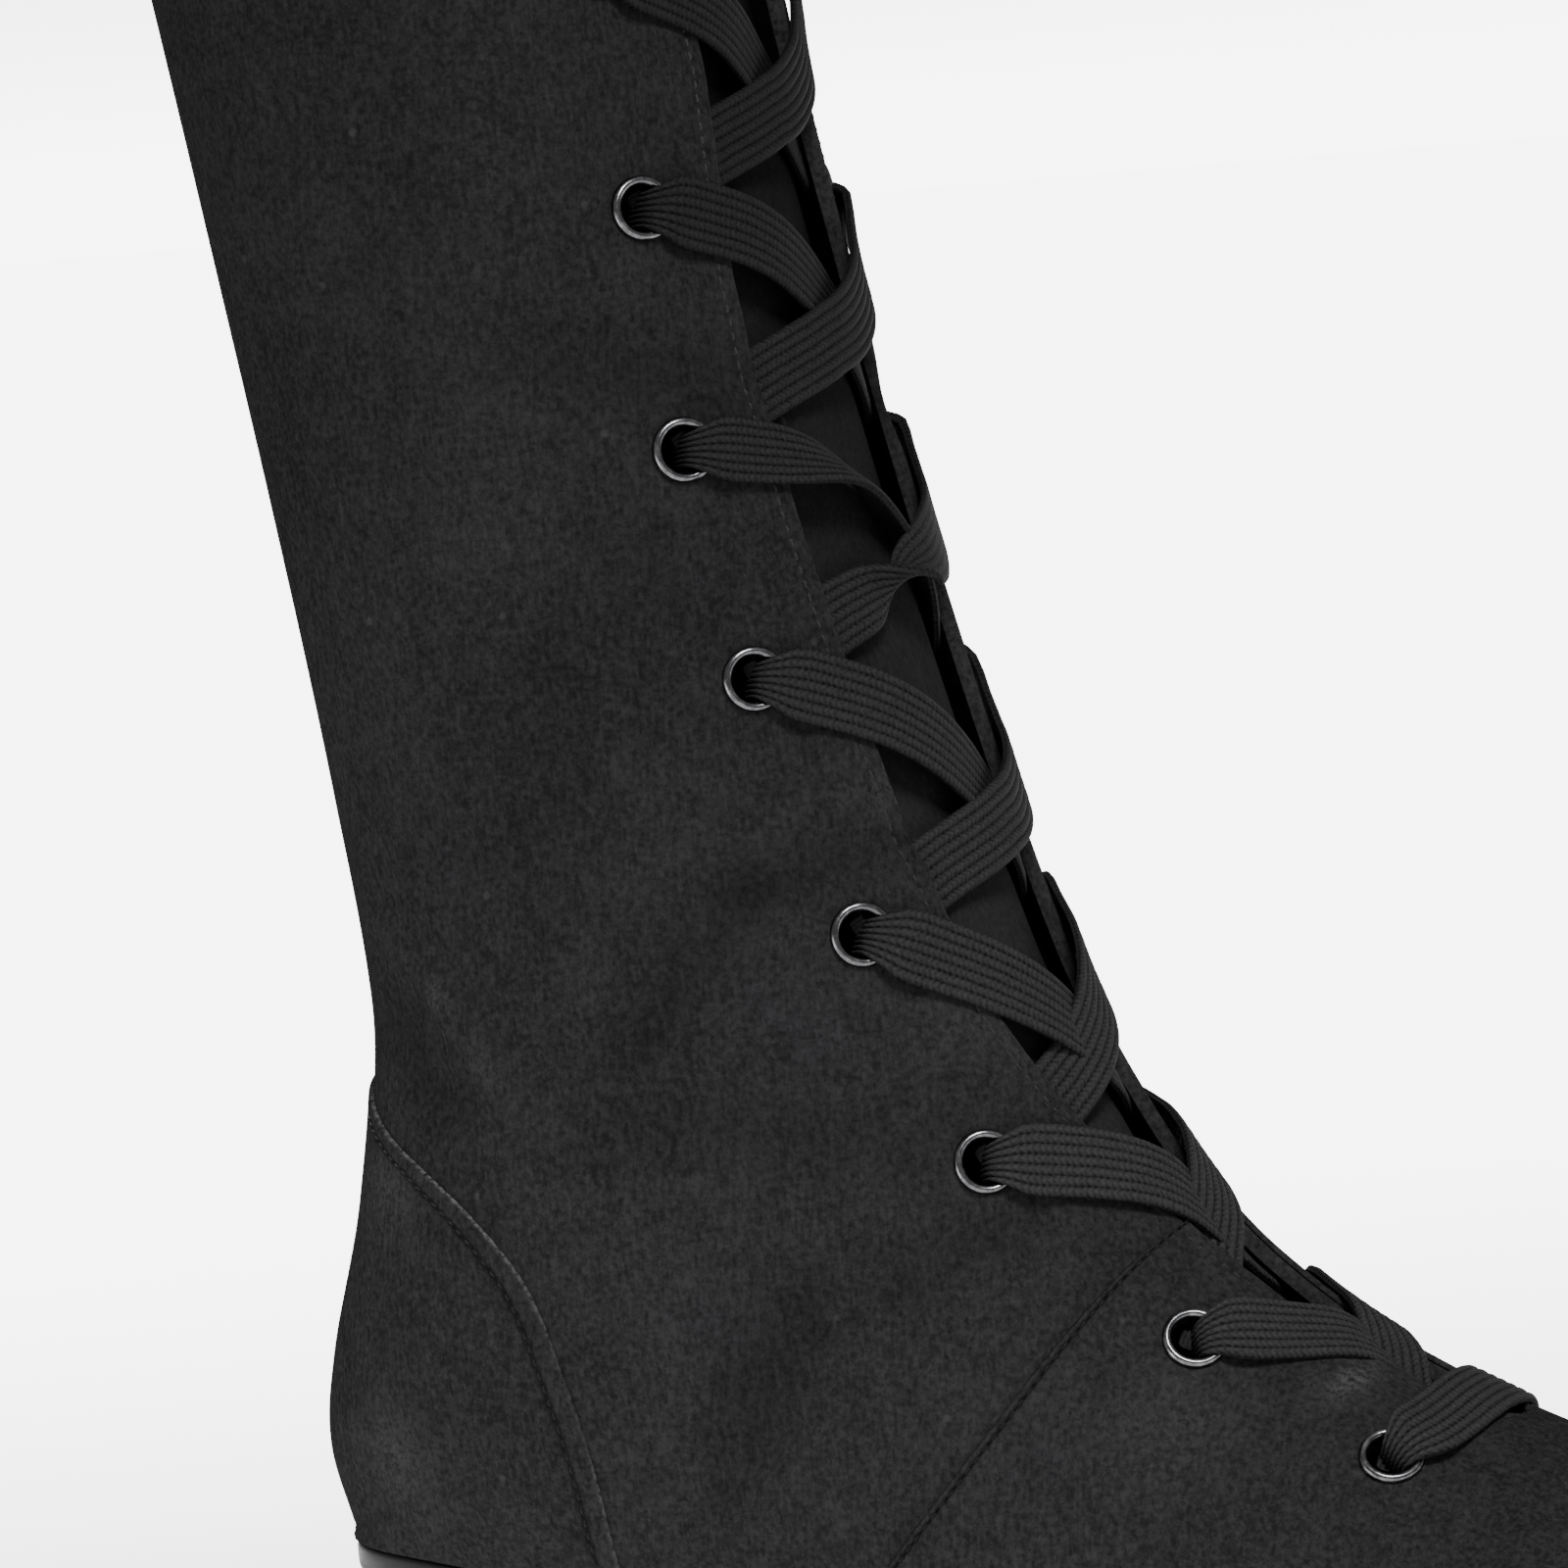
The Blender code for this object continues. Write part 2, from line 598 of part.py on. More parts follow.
def ladder_mesh(name, levels):
    """A solid between levels of stations, top one first. A level is (outer points, inner points)."""
    bm = bmesh.new()
    rings = [[[bm.verts.new(p) for p in points] for points in level] for level in levels]
    count = len(rings[0][0])
    for k in range(count - 1):
        for (outer, inner), flip in ((rings[0], False), (rings[-1], True)):
            corners = [outer[k], outer[k + 1], inner[k + 1], inner[k]]
            bm.faces.new(corners[::-1] if flip else corners)
        for above, below in zip(rings, rings[1:]):
            bm.faces.new([above[0][k], below[0][k], below[0][k + 1], above[0][k + 1]])
            bm.faces.new([above[1][k + 1], below[1][k + 1], below[1][k], above[1][k]])
    for above, below in zip(rings, rings[1:]):
        bm.faces.new([above[0][0], above[1][0], below[1][0], below[0][0]])
        bm.faces.new([above[0][-1], below[0][-1], below[1][-1], above[1][-1]])
    return mesh_from(name, bm)


def at_height(points, heights):
    moved = points.copy()
    moved[:, 2] = heights
    return moved


def build_outsole(boot, rubber):
    """A thin sole from heel to toe, flat on the floor under the ball and sprung at the toe."""
    outer, inner = sole_stations()
    heel_to_ball = np.clip(np.arange(len(outer)) / BALL_STATION, 0.0, 1.0)
    margins = SOLE_HEEL_MARGIN + (SOLE_TOE_MARGIN - SOLE_HEEL_MARGIN) * heel_to_ball
    top = outer[:, 2] - SOLE_GAP
    bottom = np.maximum(top - SOLE_THICKNESS, 0.0)
    wide_outer, wide_inner = spread(outer, inner, margins)
    foot_outer, foot_inner = spread(outer, inner, margins - SOLE_BEVEL)
    middle = bottom + (top - bottom) * SOLE_BEVEL_TOP
    levels = [
        (at_height(wide_outer, top), at_height(wide_inner, top)),
        (at_height(wide_outer, middle), at_height(wide_inner, middle)),
        (at_height(foot_outer, bottom), at_height(foot_inner, bottom)),
    ]
    add_object("outsole", ladder_mesh("outsole", levels), rubber, boot)


def build_heel(boot, rubber):
    """A block heel under the seat, tapering to a flat foot on the floor."""
    outer, inner = feather_line(HEEL_SEAT, HEEL_BREAST, HEEL_STATIONS)
    outer, inner = spread_heel(outer, inner)
    top = outer[:, 2] - SOLE_GAP - SOLE_THICKNESS - GAP
    back, breast = outer[0, 0], outer[-1, 0]
    levels = []
    for share in np.linspace(0.0, 1.0, HEEL_LEVELS):
        slim = 1.0 - (1.0 - HEEL_TAPER) * math.sin(0.5 * math.pi * share)
        new_back = back + HEEL_BACK_RAKE * share
        new_breast = breast - HEEL_BREAST_RAKE * share
        levels.append(
            tuple(
                np.stack(
                    [
                        new_back + (points[:, 0] - back) / (breast - back) * (new_breast - new_back),
                        points[:, 1] * slim,
                        top * (1.0 - share),
                    ],
                    -1,
                )
                for points in (outer, inner)
            )
        )
    add_object("heel", ladder_mesh("heel", levels), rubber, boot)


def spread_heel(outer, inner):
    """The heel's own outline: the feather line, moved out by the sole's margin at the heel."""
    margins = np.full(len(sole_stations()[0]), SOLE_HEEL_MARGIN)
    wide_outer, wide_inner = spread(*sole_stations(), margins)
    shift_outer = wide_outer - sole_stations()[0]
    shift_inner = wide_inner - sole_stations()[1]
    where = np.linspace(HEEL_SEAT, TOE_TIP, FOOT_STATIONS)
    here = np.linspace(HEEL_SEAT, HEEL_BREAST, len(outer))
    for axis in range(2):
        outer[:, axis] += np.interp(here, where, shift_outer[:FOOT_STATIONS, axis])
        inner[:, axis] += np.interp(here, where, shift_inner[:FOOT_STATIONS, axis])
    return outer, inner


def build_insole(boot, lining):
    outer, inner = sole_stations()
    outer, inner = spread(outer, inner, np.full(len(outer), -INSOLE_INSET))
    top, bottom = outer[:, 2] + GAP + INSOLE_THICKNESS, outer[:, 2] + GAP
    levels = [(at_height(outer, z), at_height(inner, z)) for z in (top, bottom)]
    add_object("insole", ladder_mesh("insole", levels), lining, boot)


def main():
    for old in list(bpy.data.objects):
        bpy.data.objects.remove(old)
    boot = bpy.data.objects.new("boot", None)
    bpy.context.scene.collection.objects.link(boot)
    suede = material("black_suede", BLACK_SUEDE, 0.95)
    cloth = material("black_lace", BLACK_LACE, 0.85)
    lining = material("black_lining", BLACK_LINING, 0.9)
    rubber = material("black_sole", BLACK_SOLE, 0.55)
    metal = material("gunmetal", GUNMETAL, 0.3, metallic=1.0)
    holes = eyelet_holes(boot)
    build_upper(boot, suede, holes)
    build_overlays(boot, suede, holes)
    build_tongue(boot, lining)
    build_eyelets(boot, metal)
    build_lace(boot, cloth)
    build_outsole(boot, rubber)
    build_heel(boot, rubber)
    build_insole(boot, lining)


if __name__ == "__main__":
    main()
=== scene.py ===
"""Looks of the lace-up jazz boot: suede upper and overlays, tongue, lace, eyelets, sole, stage and camera.

The boot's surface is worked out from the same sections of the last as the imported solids.
Metres, +X to the toe, +Y to the inner side of the foot, +Z up.
"""

import math
from collections import namedtuple

import bpy
import numpy as np
from mathutils import Matrix, Vector


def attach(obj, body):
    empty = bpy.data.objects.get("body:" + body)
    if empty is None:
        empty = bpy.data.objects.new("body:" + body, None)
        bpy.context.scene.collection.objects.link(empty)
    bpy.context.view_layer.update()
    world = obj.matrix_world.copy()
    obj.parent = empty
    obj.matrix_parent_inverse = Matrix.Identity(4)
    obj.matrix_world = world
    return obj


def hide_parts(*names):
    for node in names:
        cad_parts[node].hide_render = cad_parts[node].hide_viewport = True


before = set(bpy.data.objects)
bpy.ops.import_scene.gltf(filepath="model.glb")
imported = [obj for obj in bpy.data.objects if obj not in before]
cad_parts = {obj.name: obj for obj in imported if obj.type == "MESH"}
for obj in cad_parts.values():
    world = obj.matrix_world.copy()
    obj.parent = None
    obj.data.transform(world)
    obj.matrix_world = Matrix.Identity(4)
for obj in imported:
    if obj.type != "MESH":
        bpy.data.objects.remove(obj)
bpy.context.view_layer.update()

MM = 0.001
FULL_TURN = 2 * math.pi
QUARTER_TURN = 0.5 * math.pi

# Sections of the last, in millimetres and degrees, with x from the back of the heel.
SECTION_COLUMNS = ("dorsal_x", "dorsal_z", "end_x", "end_z", "outer", "inner", "wrap", "shift")
SECTIONS = (
    ("collar", 63.0, 291.0, -10.8, 279.0, 45.5, 45.5, 180.0, 0.0),
    ("calf", 67.3, 254.0, -5.3, 243.0, 43.0, 43.0, 180.0, 0.0),
    ("upper shaft", 72.9, 221.0, -0.4, 208.0, 40.5, 40.5, 180.0, 0.0),
    ("shaft", 79.6, 190.0, 4.4, 173.0, 38.5, 38.5, 180.0, 0.0),
    ("lower shaft", 87.5, 158.5, 8.3, 140.0, 36.8, 36.8, 180.0, 0.0),
    ("ankle", 94.6, 133.4, 10.4, 112.0, 35.8, 35.6, 180.0, 0.0),
    ("heel neck", 100.6, 115.6, 6.6, 89.0, 35.4, 34.8, 180.0, 0.0),
    ("heel back", 105.4, 104.8, 0.7, 70.0, 35.0, 34.2, 180.0, 0.0),
    ("heel bulge", 109.0, 97.7, -1.4, 58.0, 34.6, 33.6, 180.0, 0.0),
    ("heel seat", 113.0, 90.7, 0.9, 47.0, 34.2, 33.0, 180.0, 0.0),
    ("heel side", 118.2, 83.7, 6.2, 46.6, 33.8, 32.4, 152.0, 0.0),
    ("heel middle", 125.2, 76.3, 22.6, 45.2, 33.0, 31.4, 131.0, 0.0),
    ("heel front", 136.5, 67.4, 50.0, 40.4, 32.4, 30.2, 119.0, 0.0),
    ("waist", 152.5, 58.3, 88.0, 25.6, 33.0, 29.0, 113.0, 0.4),
    ("instep", 170.0, 50.1, 126.0, 11.4, 37.8, 34.4, 110.0, 1.6),
    ("ball", 188.0, 43.0, 160.0, 4.4, 42.8, 41.6, 109.0, 3.2),
    ("toe joint", 205.5, 37.6, 184.0, 4.2, 42.4, 42.0, 108.0, 5.0),
    ("toe box", 222.5, 33.4, 200.0, 4.6, 39.6, 39.8, 103.0, 6.4),
    ("toe front", 238.0, 27.8, 209.0, 5.4, 37.3, 37.7, 92.0, 7.2),
    ("toe wall", 248.5, 19.0, 213.0, 6.0, 37.4, 37.7, 78.0, 7.6),
    ("toe tip", 252.0, 11.4, 214.0, 6.2, 39.8, 40.3, 66.0, 7.6),
)
SECTION_TABLE = np.array([row[1:] for row in SECTIONS])
SECTION_NAMES = [row[0] for row in SECTIONS]
ANKLE = float(SECTION_NAMES.index("ankle"))
HEEL_SEAT = float(SECTION_NAMES.index("heel seat"))
TOE_TIP = float(SECTION_NAMES.index("toe tip"))
BACK_FULLNESS = 2.3
ORIGIN_X = 121.4
ORIGIN_Y = 1.45

# The throat's half width at sections, and the pairs of eyelets from the top down.
Gap = namedtuple("Gap", "section half_width")
THROAT = (
    Gap(0.0, 13.0), Gap(1.8, 13.6), Gap(2.6, 18.0), Gap(3.5, 18.8), Gap(4.7, 18.0), Gap(5.2, 17.0),
    Gap(6.1, 15.8), Gap(7.5, 12.6), Gap(9.8, 8.0), Gap(11.2, 6.0), Gap(12.8, 5.6),
)
THROAT_ROUND_START = 12.75
THROAT_END = 13.24
Pair = namedtuple("Pair", "section girth")
EYELETS = (
    Pair(0.45, 26.5), Pair(1.36, 27.2), Pair(2.267, 28.5), Pair(3.186, 31.4), Pair(4.091, 31.1),
    Pair(5.469, 28.4), Pair(8.165, 25.6), Pair(11.528, 20.4), Pair(13.046, 20.6),
)
FIRST_VAMP_EYELET = 7

# Cut edges of the overlays, seen from the side, as (x, z).
VAMP_EDGE = (
    (130.0, 92.0), (116.9, 81.8), (111.9, 76.8), (105.0, 68.4), (98.1, 59.6), (86.6, 46.3), (66.0, 24.0),
)
COUNTER_EDGE = (
    (4.0, 110.5), (17.5, 100.2), (26.5, 94.6), (34.1, 88.7), (40.7, 80.7), (44.4, 70.0), (47.2, 57.0),
    (48.4, 36.0),
)

# Soft folds in the suede, seen from the side, in millimetres: a trough where depth is above 0, a
# ridge where it is below. width is how far it spreads.
Fold = namedtuple("Fold", "x0 z0 x1 z1 depth width")
FOLD_SCALE = 1.6
FOLD_CLEAR = 0.06
# TROUGH_SHADE darkens the suede's colour in a fold's trough with painted shade; RIDGE_SHINE lightens it on a
# ridge with a painted highlight.
TROUGH_SHADE = 0.25
RIDGE_SHINE = 0.05
OUTER_FOLDS = (
    Fold(54.0, 193.0, 74.0, 189.4, 0.55, 5.0),
    Fold(73.0, 127.0, 60.0, 111.0, 0.7, 4.2),
    Fold(74.0, 127.0, 91.0, 132.5, 0.6, 3.6),
    Fold(76.0, 76.0, 65.0, 57.0, 0.7, 6.0),
    Fold(88.0, 78.4, 101.0, 83.6, 0.45, 3.0),
    Fold(52.0, 101.0, 90.0, 96.0, 0.4, 5.0),
    Fold(63.0, 166.0, 47.0, 136.0, 0.3, 9.0),
    Fold(19.0, 127.0, 31.6, 116.2, -0.45, 1.9),
    Fold(31.6, 116.2, 40.0, 104.0, -0.45, 2.0),
    Fold(40.0, 104.0, 40.4, 92.0, -0.35, 2.8),
    Fold(22.0, 112.0, 30.0, 104.0, 0.6, 5.0),
    Fold(53.0, 240.0, 47.0, 172.0, -0.5, 8.0),
    Fold(139.5, 62.0, 136.0, 63.6, -0.3, 1.8),
)
INNER_FOLDS = (
    Fold(58.0, 186.0, 76.0, 184.0, 0.5, 5.0),
    Fold(76.0, 124.0, 58.0, 112.0, 0.6, 4.5),
    Fold(78.0, 79.0, 60.0, 58.0, 0.7, 6.0),
    Fold(54.0, 99.0, 90.0, 95.0, 0.4, 5.0),
    Fold(60.0, 160.0, 46.0, 132.0, 0.6, 9.0),
    Fold(20.0, 126.0, 40.0, 104.0, -0.4, 3.0),
)

# Scuffs and rubbed places on the outer side, in millimetres, with a strength.
Scuff = namedtuple("Scuff", "x z reach strength")
SCUFFS = (
    Scuff(138.9, 62.2, 1.9, 0.4), Scuff(19.4, 91.9, 5.0, 0.16), Scuff(17.5, 58.5, 6.0, 0.16),
    Scuff(88.0, 136.0, 4.0, 0.14), Scuff(121.0, 60.0, 7.0, 0.12), Scuff(62.0, 58.0, 6.0, 0.1),
    # The last two scuffs on the next line lie on the fold ridge behind the ankle and paint a highlight along
    # it.
    Scuff(96.0, 112.0, 8.0, 0.1), Scuff(31.6, 117.0, 2.2, 0.12), Scuff(38.0, 108.0, 2.2, 0.12),
)

WALL = 2.0 * MM
OVERLAY = 0.7 * MM
WELD = 1e-7
SHARP_ANGLE = math.radians(50.0)
NORMAL_STEP_S = 0.1
NORMAL_STEP_T = 0.02
GIRTH_STEPS = 200
EDGE_CURVE_STEPS = 60
EDGE_SAMPLES = 401
HALVINGS = 30


# The last

def smooth_curve(rows, s, before=None):
    """Catmull-Rom curve through rows at s = 0, 1, 2 and so on. before is a row ahead of the first."""
    if before is None:
        before = 2 * rows[0] - rows[1]
    after = 2 * rows[-1] - rows[-2]
    rows = np.vstack([before, rows, after])
    first = np.clip(np.floor(s).astype(int), 0, len(rows) - 4)
    u = (s - first)[..., None]
    a, b, c, d = (rows[first + k] for k in range(4))
    return b + 0.5 * u * (c - a + u * (2 * a - 5 * b + 4 * c - d + u * (3 * (b - c) + d - a)))


def section(s):
    """The section of the last at s, as arrays named by column, in millimetres and degrees."""
    s = np.asarray(s, float)
    seat = int(HEEL_SEAT)
    whole = smooth_curve(SECTION_TABLE, s)
    leg = smooth_curve(SECTION_TABLE[: seat + 1], np.minimum(s, HEEL_SEAT))
    mirrored = SECTION_TABLE[seat + 1].copy()
    mirrored[SECTION_COLUMNS.index("wrap")] = 360.0 - mirrored[SECTION_COLUMNS.index("wrap")]
    foot = smooth_curve(SECTION_TABLE[seat:], np.maximum(s - HEEL_SEAT, 0.0), mirrored)
    ends = np.where((s > HEEL_SEAT)[..., None], foot, leg)
    columns = dict(zip(SECTION_COLUMNS, np.moveaxis(whole, -1, 0)))
    for name in ("end_x", "end_z", "wrap"):
        columns[name] = ends[..., SECTION_COLUMNS.index(name)]
    return columns


def oval(angle):
    """(share of the depth, share of the half width) of an oval that is fuller at the back."""
    power = np.where(np.cos(angle) < 0, 2 / BACK_FULLNESS, 1.0)
    cosine, sine = np.cos(angle), np.sin(angle)
    return 1 - np.sign(cosine) * np.abs(cosine) ** power, np.sign(sine) * np.abs(sine) ** power


def last_point(s, t, side):
    """Outer face of the upper at section s. t runs from the dorsal line, 0, to the end line, 1.

    side is -1 for the outer side of the foot and 1 for the inner side.
    """
    s, t = np.broadcast_arrays(np.asarray(s, float), np.asarray(t, float))
    row = section(s)
    wrap = np.radians(row["wrap"])
    depth, width = oval(wrap * t)
    share = depth / oval(wrap)[0]
    x = row["dorsal_x"] + (row["end_x"] - row["dorsal_x"]) * share - ORIGIN_X
    z = row["dorsal_z"] + (row["end_z"] - row["dorsal_z"]) * share
    y = row["shift"] + side * (row["outer"] if side < 0 else row["inner"]) * width - ORIGIN_Y
    return np.stack([x, y, z], -1) * MM


def last_normal(s, t, side):
    """Outward normal of the last. On the middle line, where the two sides meet, it has no y part."""
    s, t = np.broadcast_arrays(np.asarray(s, float), np.asarray(t, float))
    down = last_point(s + NORMAL_STEP_S, t, side) - last_point(s - NORMAL_STEP_S, t, side)
    around = last_point(s, t + NORMAL_STEP_T, side) - last_point(s, t - NORMAL_STEP_T, side)
    normal = side * np.cross(down, around)
    middle = (t == 0.0) | ((t == 1.0) & (s <= HEEL_SEAT))
    normal[..., 1] = np.where(middle, 0.0, normal[..., 1])
    return normal / np.linalg.norm(normal, axis=-1, keepdims=True)


def run_along(line):
    """Distance of each point of a line from its start, along the line."""
    return np.concatenate([[0.0], np.cumsum(np.linalg.norm(np.diff(line, axis=0), axis=1))])


def girth_line(s, side, low=0.0, high=1.0):
    """(t, girth) along section s from t = low to t = high."""
    t = np.linspace(low, high, GIRTH_STEPS + 1)
    return t, run_along(last_point(np.full_like(t, s), t, side))


def t_at_girth(s, girth, side):
    t, run = girth_line(s, side)
    return float(np.interp(girth, run, t))


def taped_point(s, girth):
    """(point, normal) at a girth from the dorsal line: below 0 is the outer side, above 0 the inner."""
    side = -1 if girth < 0 else 1
    t = t_at_girth(s, abs(girth), side)
    return last_point(s, t, side), last_normal(s, t, side)


def half_gap(s):
    """Half the throat's width at section s, in metres."""
    width = np.interp(s, [row.section for row in THROAT], [row.half_width for row in THROAT]) * MM
    past = np.clip((s - THROAT_ROUND_START) / (THROAT_END - THROAT_ROUND_START), 0.0, 1.0)
    return float(width * math.sqrt(1.0 - past * past))


def throat_t(s, side):
    return t_at_girth(s, half_gap(s), side)


def end_t(s, side):
    return 1.0


def edge_t(edge, s, side):
    """Where on section s, as t, an overlay's edge crosses it, or 1 where it is below the feather line."""
    rows = np.array(edge)
    curve = smooth_curve(rows, np.linspace(0.0, len(rows) - 1.0, EDGE_CURVE_STEPS + 1))[::-1]
    t = np.linspace(0.0, 1.0, EDGE_SAMPLES)
    line = last_point(np.full_like(t, s), t, side) / MM
    ahead = line[:, 0] + ORIGIN_X - np.interp(line[:, 2], curve[:, 1], curve[:, 0])
    behind = np.where(ahead < 0)[0]
    if len(behind) == 0:
        return 1.0
    k = max(behind[0], 1)
    return float(np.interp(0.0, [ahead[k], ahead[k - 1]], [t[k], t[k - 1]]))


def halved(inside, outside, holds):
    """The section between two where something stops being true, found by halving."""
    for _ in range(HALVINGS):
        middle = 0.5 * (inside + outside)
        if holds(middle):
            inside = middle
        else:
            outside = middle
    return inside


def fold_relief(points, t, side):
    """Height of the soft folds at points of the surface, in metres."""
    x, z = points[..., 0] / MM + ORIGIN_X, points[..., 2] / MM
    relief = np.zeros_like(x)
    for fold in OUTER_FOLDS if side < 0 else INNER_FOLDS:
        run = np.array([fold.x1 - fold.x0, fold.z1 - fold.z0])
        share = ((x - fold.x0) * run[0] + (z - fold.z0) * run[1]) / (run @ run)
        near = np.clip(share, 0.0, 1.0)
        away = np.hypot(x - fold.x0 - near * run[0], z - fold.z0 - near * run[1])
        relief -= FOLD_SCALE * fold.depth * MM * np.exp(-((away / fold.width) ** 2))
    return relief * np.clip(t / FOLD_CLEAR, 0.0, 1.0) * np.clip((1.0 - t) / FOLD_CLEAR, 0.0, 1.0)


def rubbed(points, t, side):
    """How far the suede is made paler, above 0, or darker, below 0: rubbed scuffs, painted shade in fold
    troughs and a painted highlight on fold ridges.
    """
    x, z = points[..., 0] / MM + ORIGIN_X, points[..., 2] / MM
    folds = fold_relief(points, t, side) / MM
    # Painted shade in the folds' troughs and a painted highlight on their ridges.
    pale = np.where(folds < 0.0, TROUGH_SHADE, RIDGE_SHINE) * folds
    for scuff in SCUFFS if side < 0 else ():
        pale += scuff.strength * np.exp(-((x - scuff.x) ** 2 + (z - scuff.z) ** 2) / scuff.reach**2)
    return pale


# Meshes

def new_object(name, verts, faces, *finishes):
    """An object from points and faces. Corners sharper than SHARP_ANGLE stay sharp."""
    mesh = bpy.data.meshes.new(name)
    mesh.from_pydata(np.asarray(verts).tolist(), [], faces)
    mesh.validate()
    for finish in finishes:
        mesh.materials.append(finish)
    mesh.shade_smooth()
    mesh.set_sharp_from_angle(angle=SHARP_ANGLE)
    made = bpy.data.objects.new(name, mesh)
    bpy.context.scene.collection.objects.link(made)
    return made


def dress(made, slot, *nodes):
    """Tie a piece to the frame: it rides on the boot and stands for CAD nodes, which it hides. slot is not
    used.
    """
    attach(made, "root")
    if nodes:
        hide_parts(*nodes)
    return made


def grid_quads(rows, columns, start=0, flip=False, closed=False):
    """Quads over a grid of rows and columns. closed joins the last column to the first."""
    index = start + np.arange(rows * columns).reshape(rows, columns)
    if closed:
        index = np.hstack([index, index[:, :1]])
    quads = np.stack([index[:-1, :-1], index[1:, :-1], index[1:, 1:], index[:-1, 1:]], -1).reshape(-1, 4)
    return quads[:, ::-1] if flip else quads


def shell(name, sides, *finishes):
    """A closed wall from (outer points, inner points, flip, wear) grids for each side. The wear grid also
    carries painted shade and painted highlights.

    The sides join where their points meet, and a rim closes every open edge.
    """
    outer = np.concatenate([grid.reshape(-1, 3) for grid, _, _, _ in sides])
    inner = np.concatenate([grid.reshape(-1, 3) for _, grid, _, _ in sides])
    wear = np.concatenate([grid.ravel() for _, _, _, grid in sides])
    quads, start = [], 0
    for grid, _, flip, _ in sides:
        quads.append(grid_quads(*grid.shape[:2], start, flip))
        start += grid.shape[0] * grid.shape[1]
    quads = np.concatenate(quads)
    places = np.round(np.hstack([outer, inner]) / WELD)
    _, first, same = np.unique(places, axis=0, return_index=True, return_inverse=True)
    outer, inner, quads = outer[first], inner[first], same.ravel()[quads]
    edges = np.concatenate([quads[:, [k, (k + 1) % 4]] for k in range(4)])
    edges = edges[edges[:, 0] != edges[:, 1]]
    _, where, times = np.unique(np.sort(edges, axis=1), axis=0, return_index=True, return_counts=True)
    rim = edges[where[times == 1]]
    count = len(outer)
    walls = np.stack([rim[:, 1], rim[:, 0], rim[:, 0] + count, rim[:, 1] + count], -1)
    faces = []
    for quad in np.concatenate([quads, quads[:, ::-1] + count, walls]).tolist():
        corners = [v for k, v in enumerate(quad) if v != quad[k - 1]]
        if len(corners) > 2:
            faces.append(corners)
    made = new_object(name, np.concatenate([outer, inner]), faces, *finishes)
    # wear carries rubbed wear and painted highlights above 0, and painted shade below 0.
    worn = made.data.attributes.new("wear", "FLOAT", "POINT")
    worn.data.foreach_set("value", np.tile(wear[first], 2))
    if len(finishes) > 1:
        for k, corners in enumerate(faces):
            made.data.polygons[k].material_index = int(min(corners) >= count)
    return made


def keep_result(made, modifier):
    """Keep a modifier's result as the piece's mesh, and take the modifier off."""
    depsgraph = bpy.context.evaluated_depsgraph_get()
    made.data = bpy.data.meshes.new_from_object(made.evaluated_get(depsgraph))
    made.modifiers.remove(modifier)


def cut_holes(made, holes):
    """Cut the eyelets' holes out of a piece."""
    cut = made.modifiers.new("eyelet holes", "BOOLEAN")
    cut.operation = "DIFFERENCE"
    cut.object = holes
    cut.solver = "MANIFOLD"
    keep_result(made, cut)


# Upper and overlays

EDGE_STEPS = np.array([0.0, 0.12, 0.3, 0.6, 1.0, 1.5, 1.9, 2.3, 2.7, 3.1, 3.8, 5.0]) * MM
EDGE_SHARE = 0.4
LEG_ROWS = 86
HEEL_ROWS = 100
THROAT_ROWS = 12
FOOT_ROWS = 56
UPPER_COLUMNS = 44
OVERLAY_COLUMNS = 34
COUNTER_ROWS = 90
VAMP_ROWS = 80
EVEN_SAMPLES = 160
OVERLAY_SEAT = 0.02 * MM
OVERLAY_LEAST = 0.05 * MM

# Cut edges round over by a depth within a run.
Cut = namedtuple("Cut", "depth run")
FACING_CUT = Cut(0.35 * MM, 0.25 * MM)
COUNTER_CUT = Cut(0.45 * MM, 0.25 * MM)
VAMP_CUT = Cut(0.6 * MM, 0.18 * MM)

# Lines beside an edge, at a place from it: grooves sunk by a strength in metres, pale wear lines, and painted
# highlight and painted shade lines.
Line = namedtuple("Line", "place strength width")
FACING_GROOVE = Line(2.3 * MM, 0.16 * MM, 0.3 * MM)
FACING_PALE = Line(0.0, 0.1, 0.5 * MM)
COUNTER_GROOVE = Line(3.0 * MM, 0.2 * MM, 0.4 * MM)
# A painted highlight on the counter's cut edge.
COUNTER_EDGE_HIGHLIGHT = Line(0.0, 1.0, 0.2 * MM)
# Painted shade in the counter's stitch groove.
COUNTER_GROOVE_SHADE = Line(COUNTER_GROOVE.place, 0.75, 0.45 * MM)
VAMP_GROOVE = Line(1.9 * MM, 0.32 * MM, 0.45 * MM)
VAMP_PALE = Line(0.0, 0.1, 0.4 * MM)
# Painted shadow under the vamp's cut edge, and painted shade in its stitch groove.
VAMP_EDGE_SHADOW = Line(0.0, 1.0, 0.3 * MM)
VAMP_GROOVE_SHADE = Line(VAMP_GROOVE.place, 0.9, 0.4 * MM)

# How strong the painted highlight on the counter's cut edge is at sections from its top to its foot.
EDGE_HIGHLIGHT_SECTIONS = (5.0, 6.6, 7.6, 8.6, 9.8, 10.6, 12.0)
EDGE_HIGHLIGHT_STRENGTHS = (0.85, 0.95, 0.5, 0.22, 0.2, 0.55, 0.5)

# Sections above, within and below an overlay's edge, for finding where it ends.
COUNTER_ABOVE, COUNTER_WITHIN, COUNTER_BELOW = 4.0, 8.0, 14.0
VAMP_WITHIN, VAMP_BELOW = 11.0, 16.0


def counter_t(s, side):
    return edge_t(COUNTER_EDGE, s, side)


def vamp_t(s, side):
    return edge_t(VAMP_EDGE, s, side)


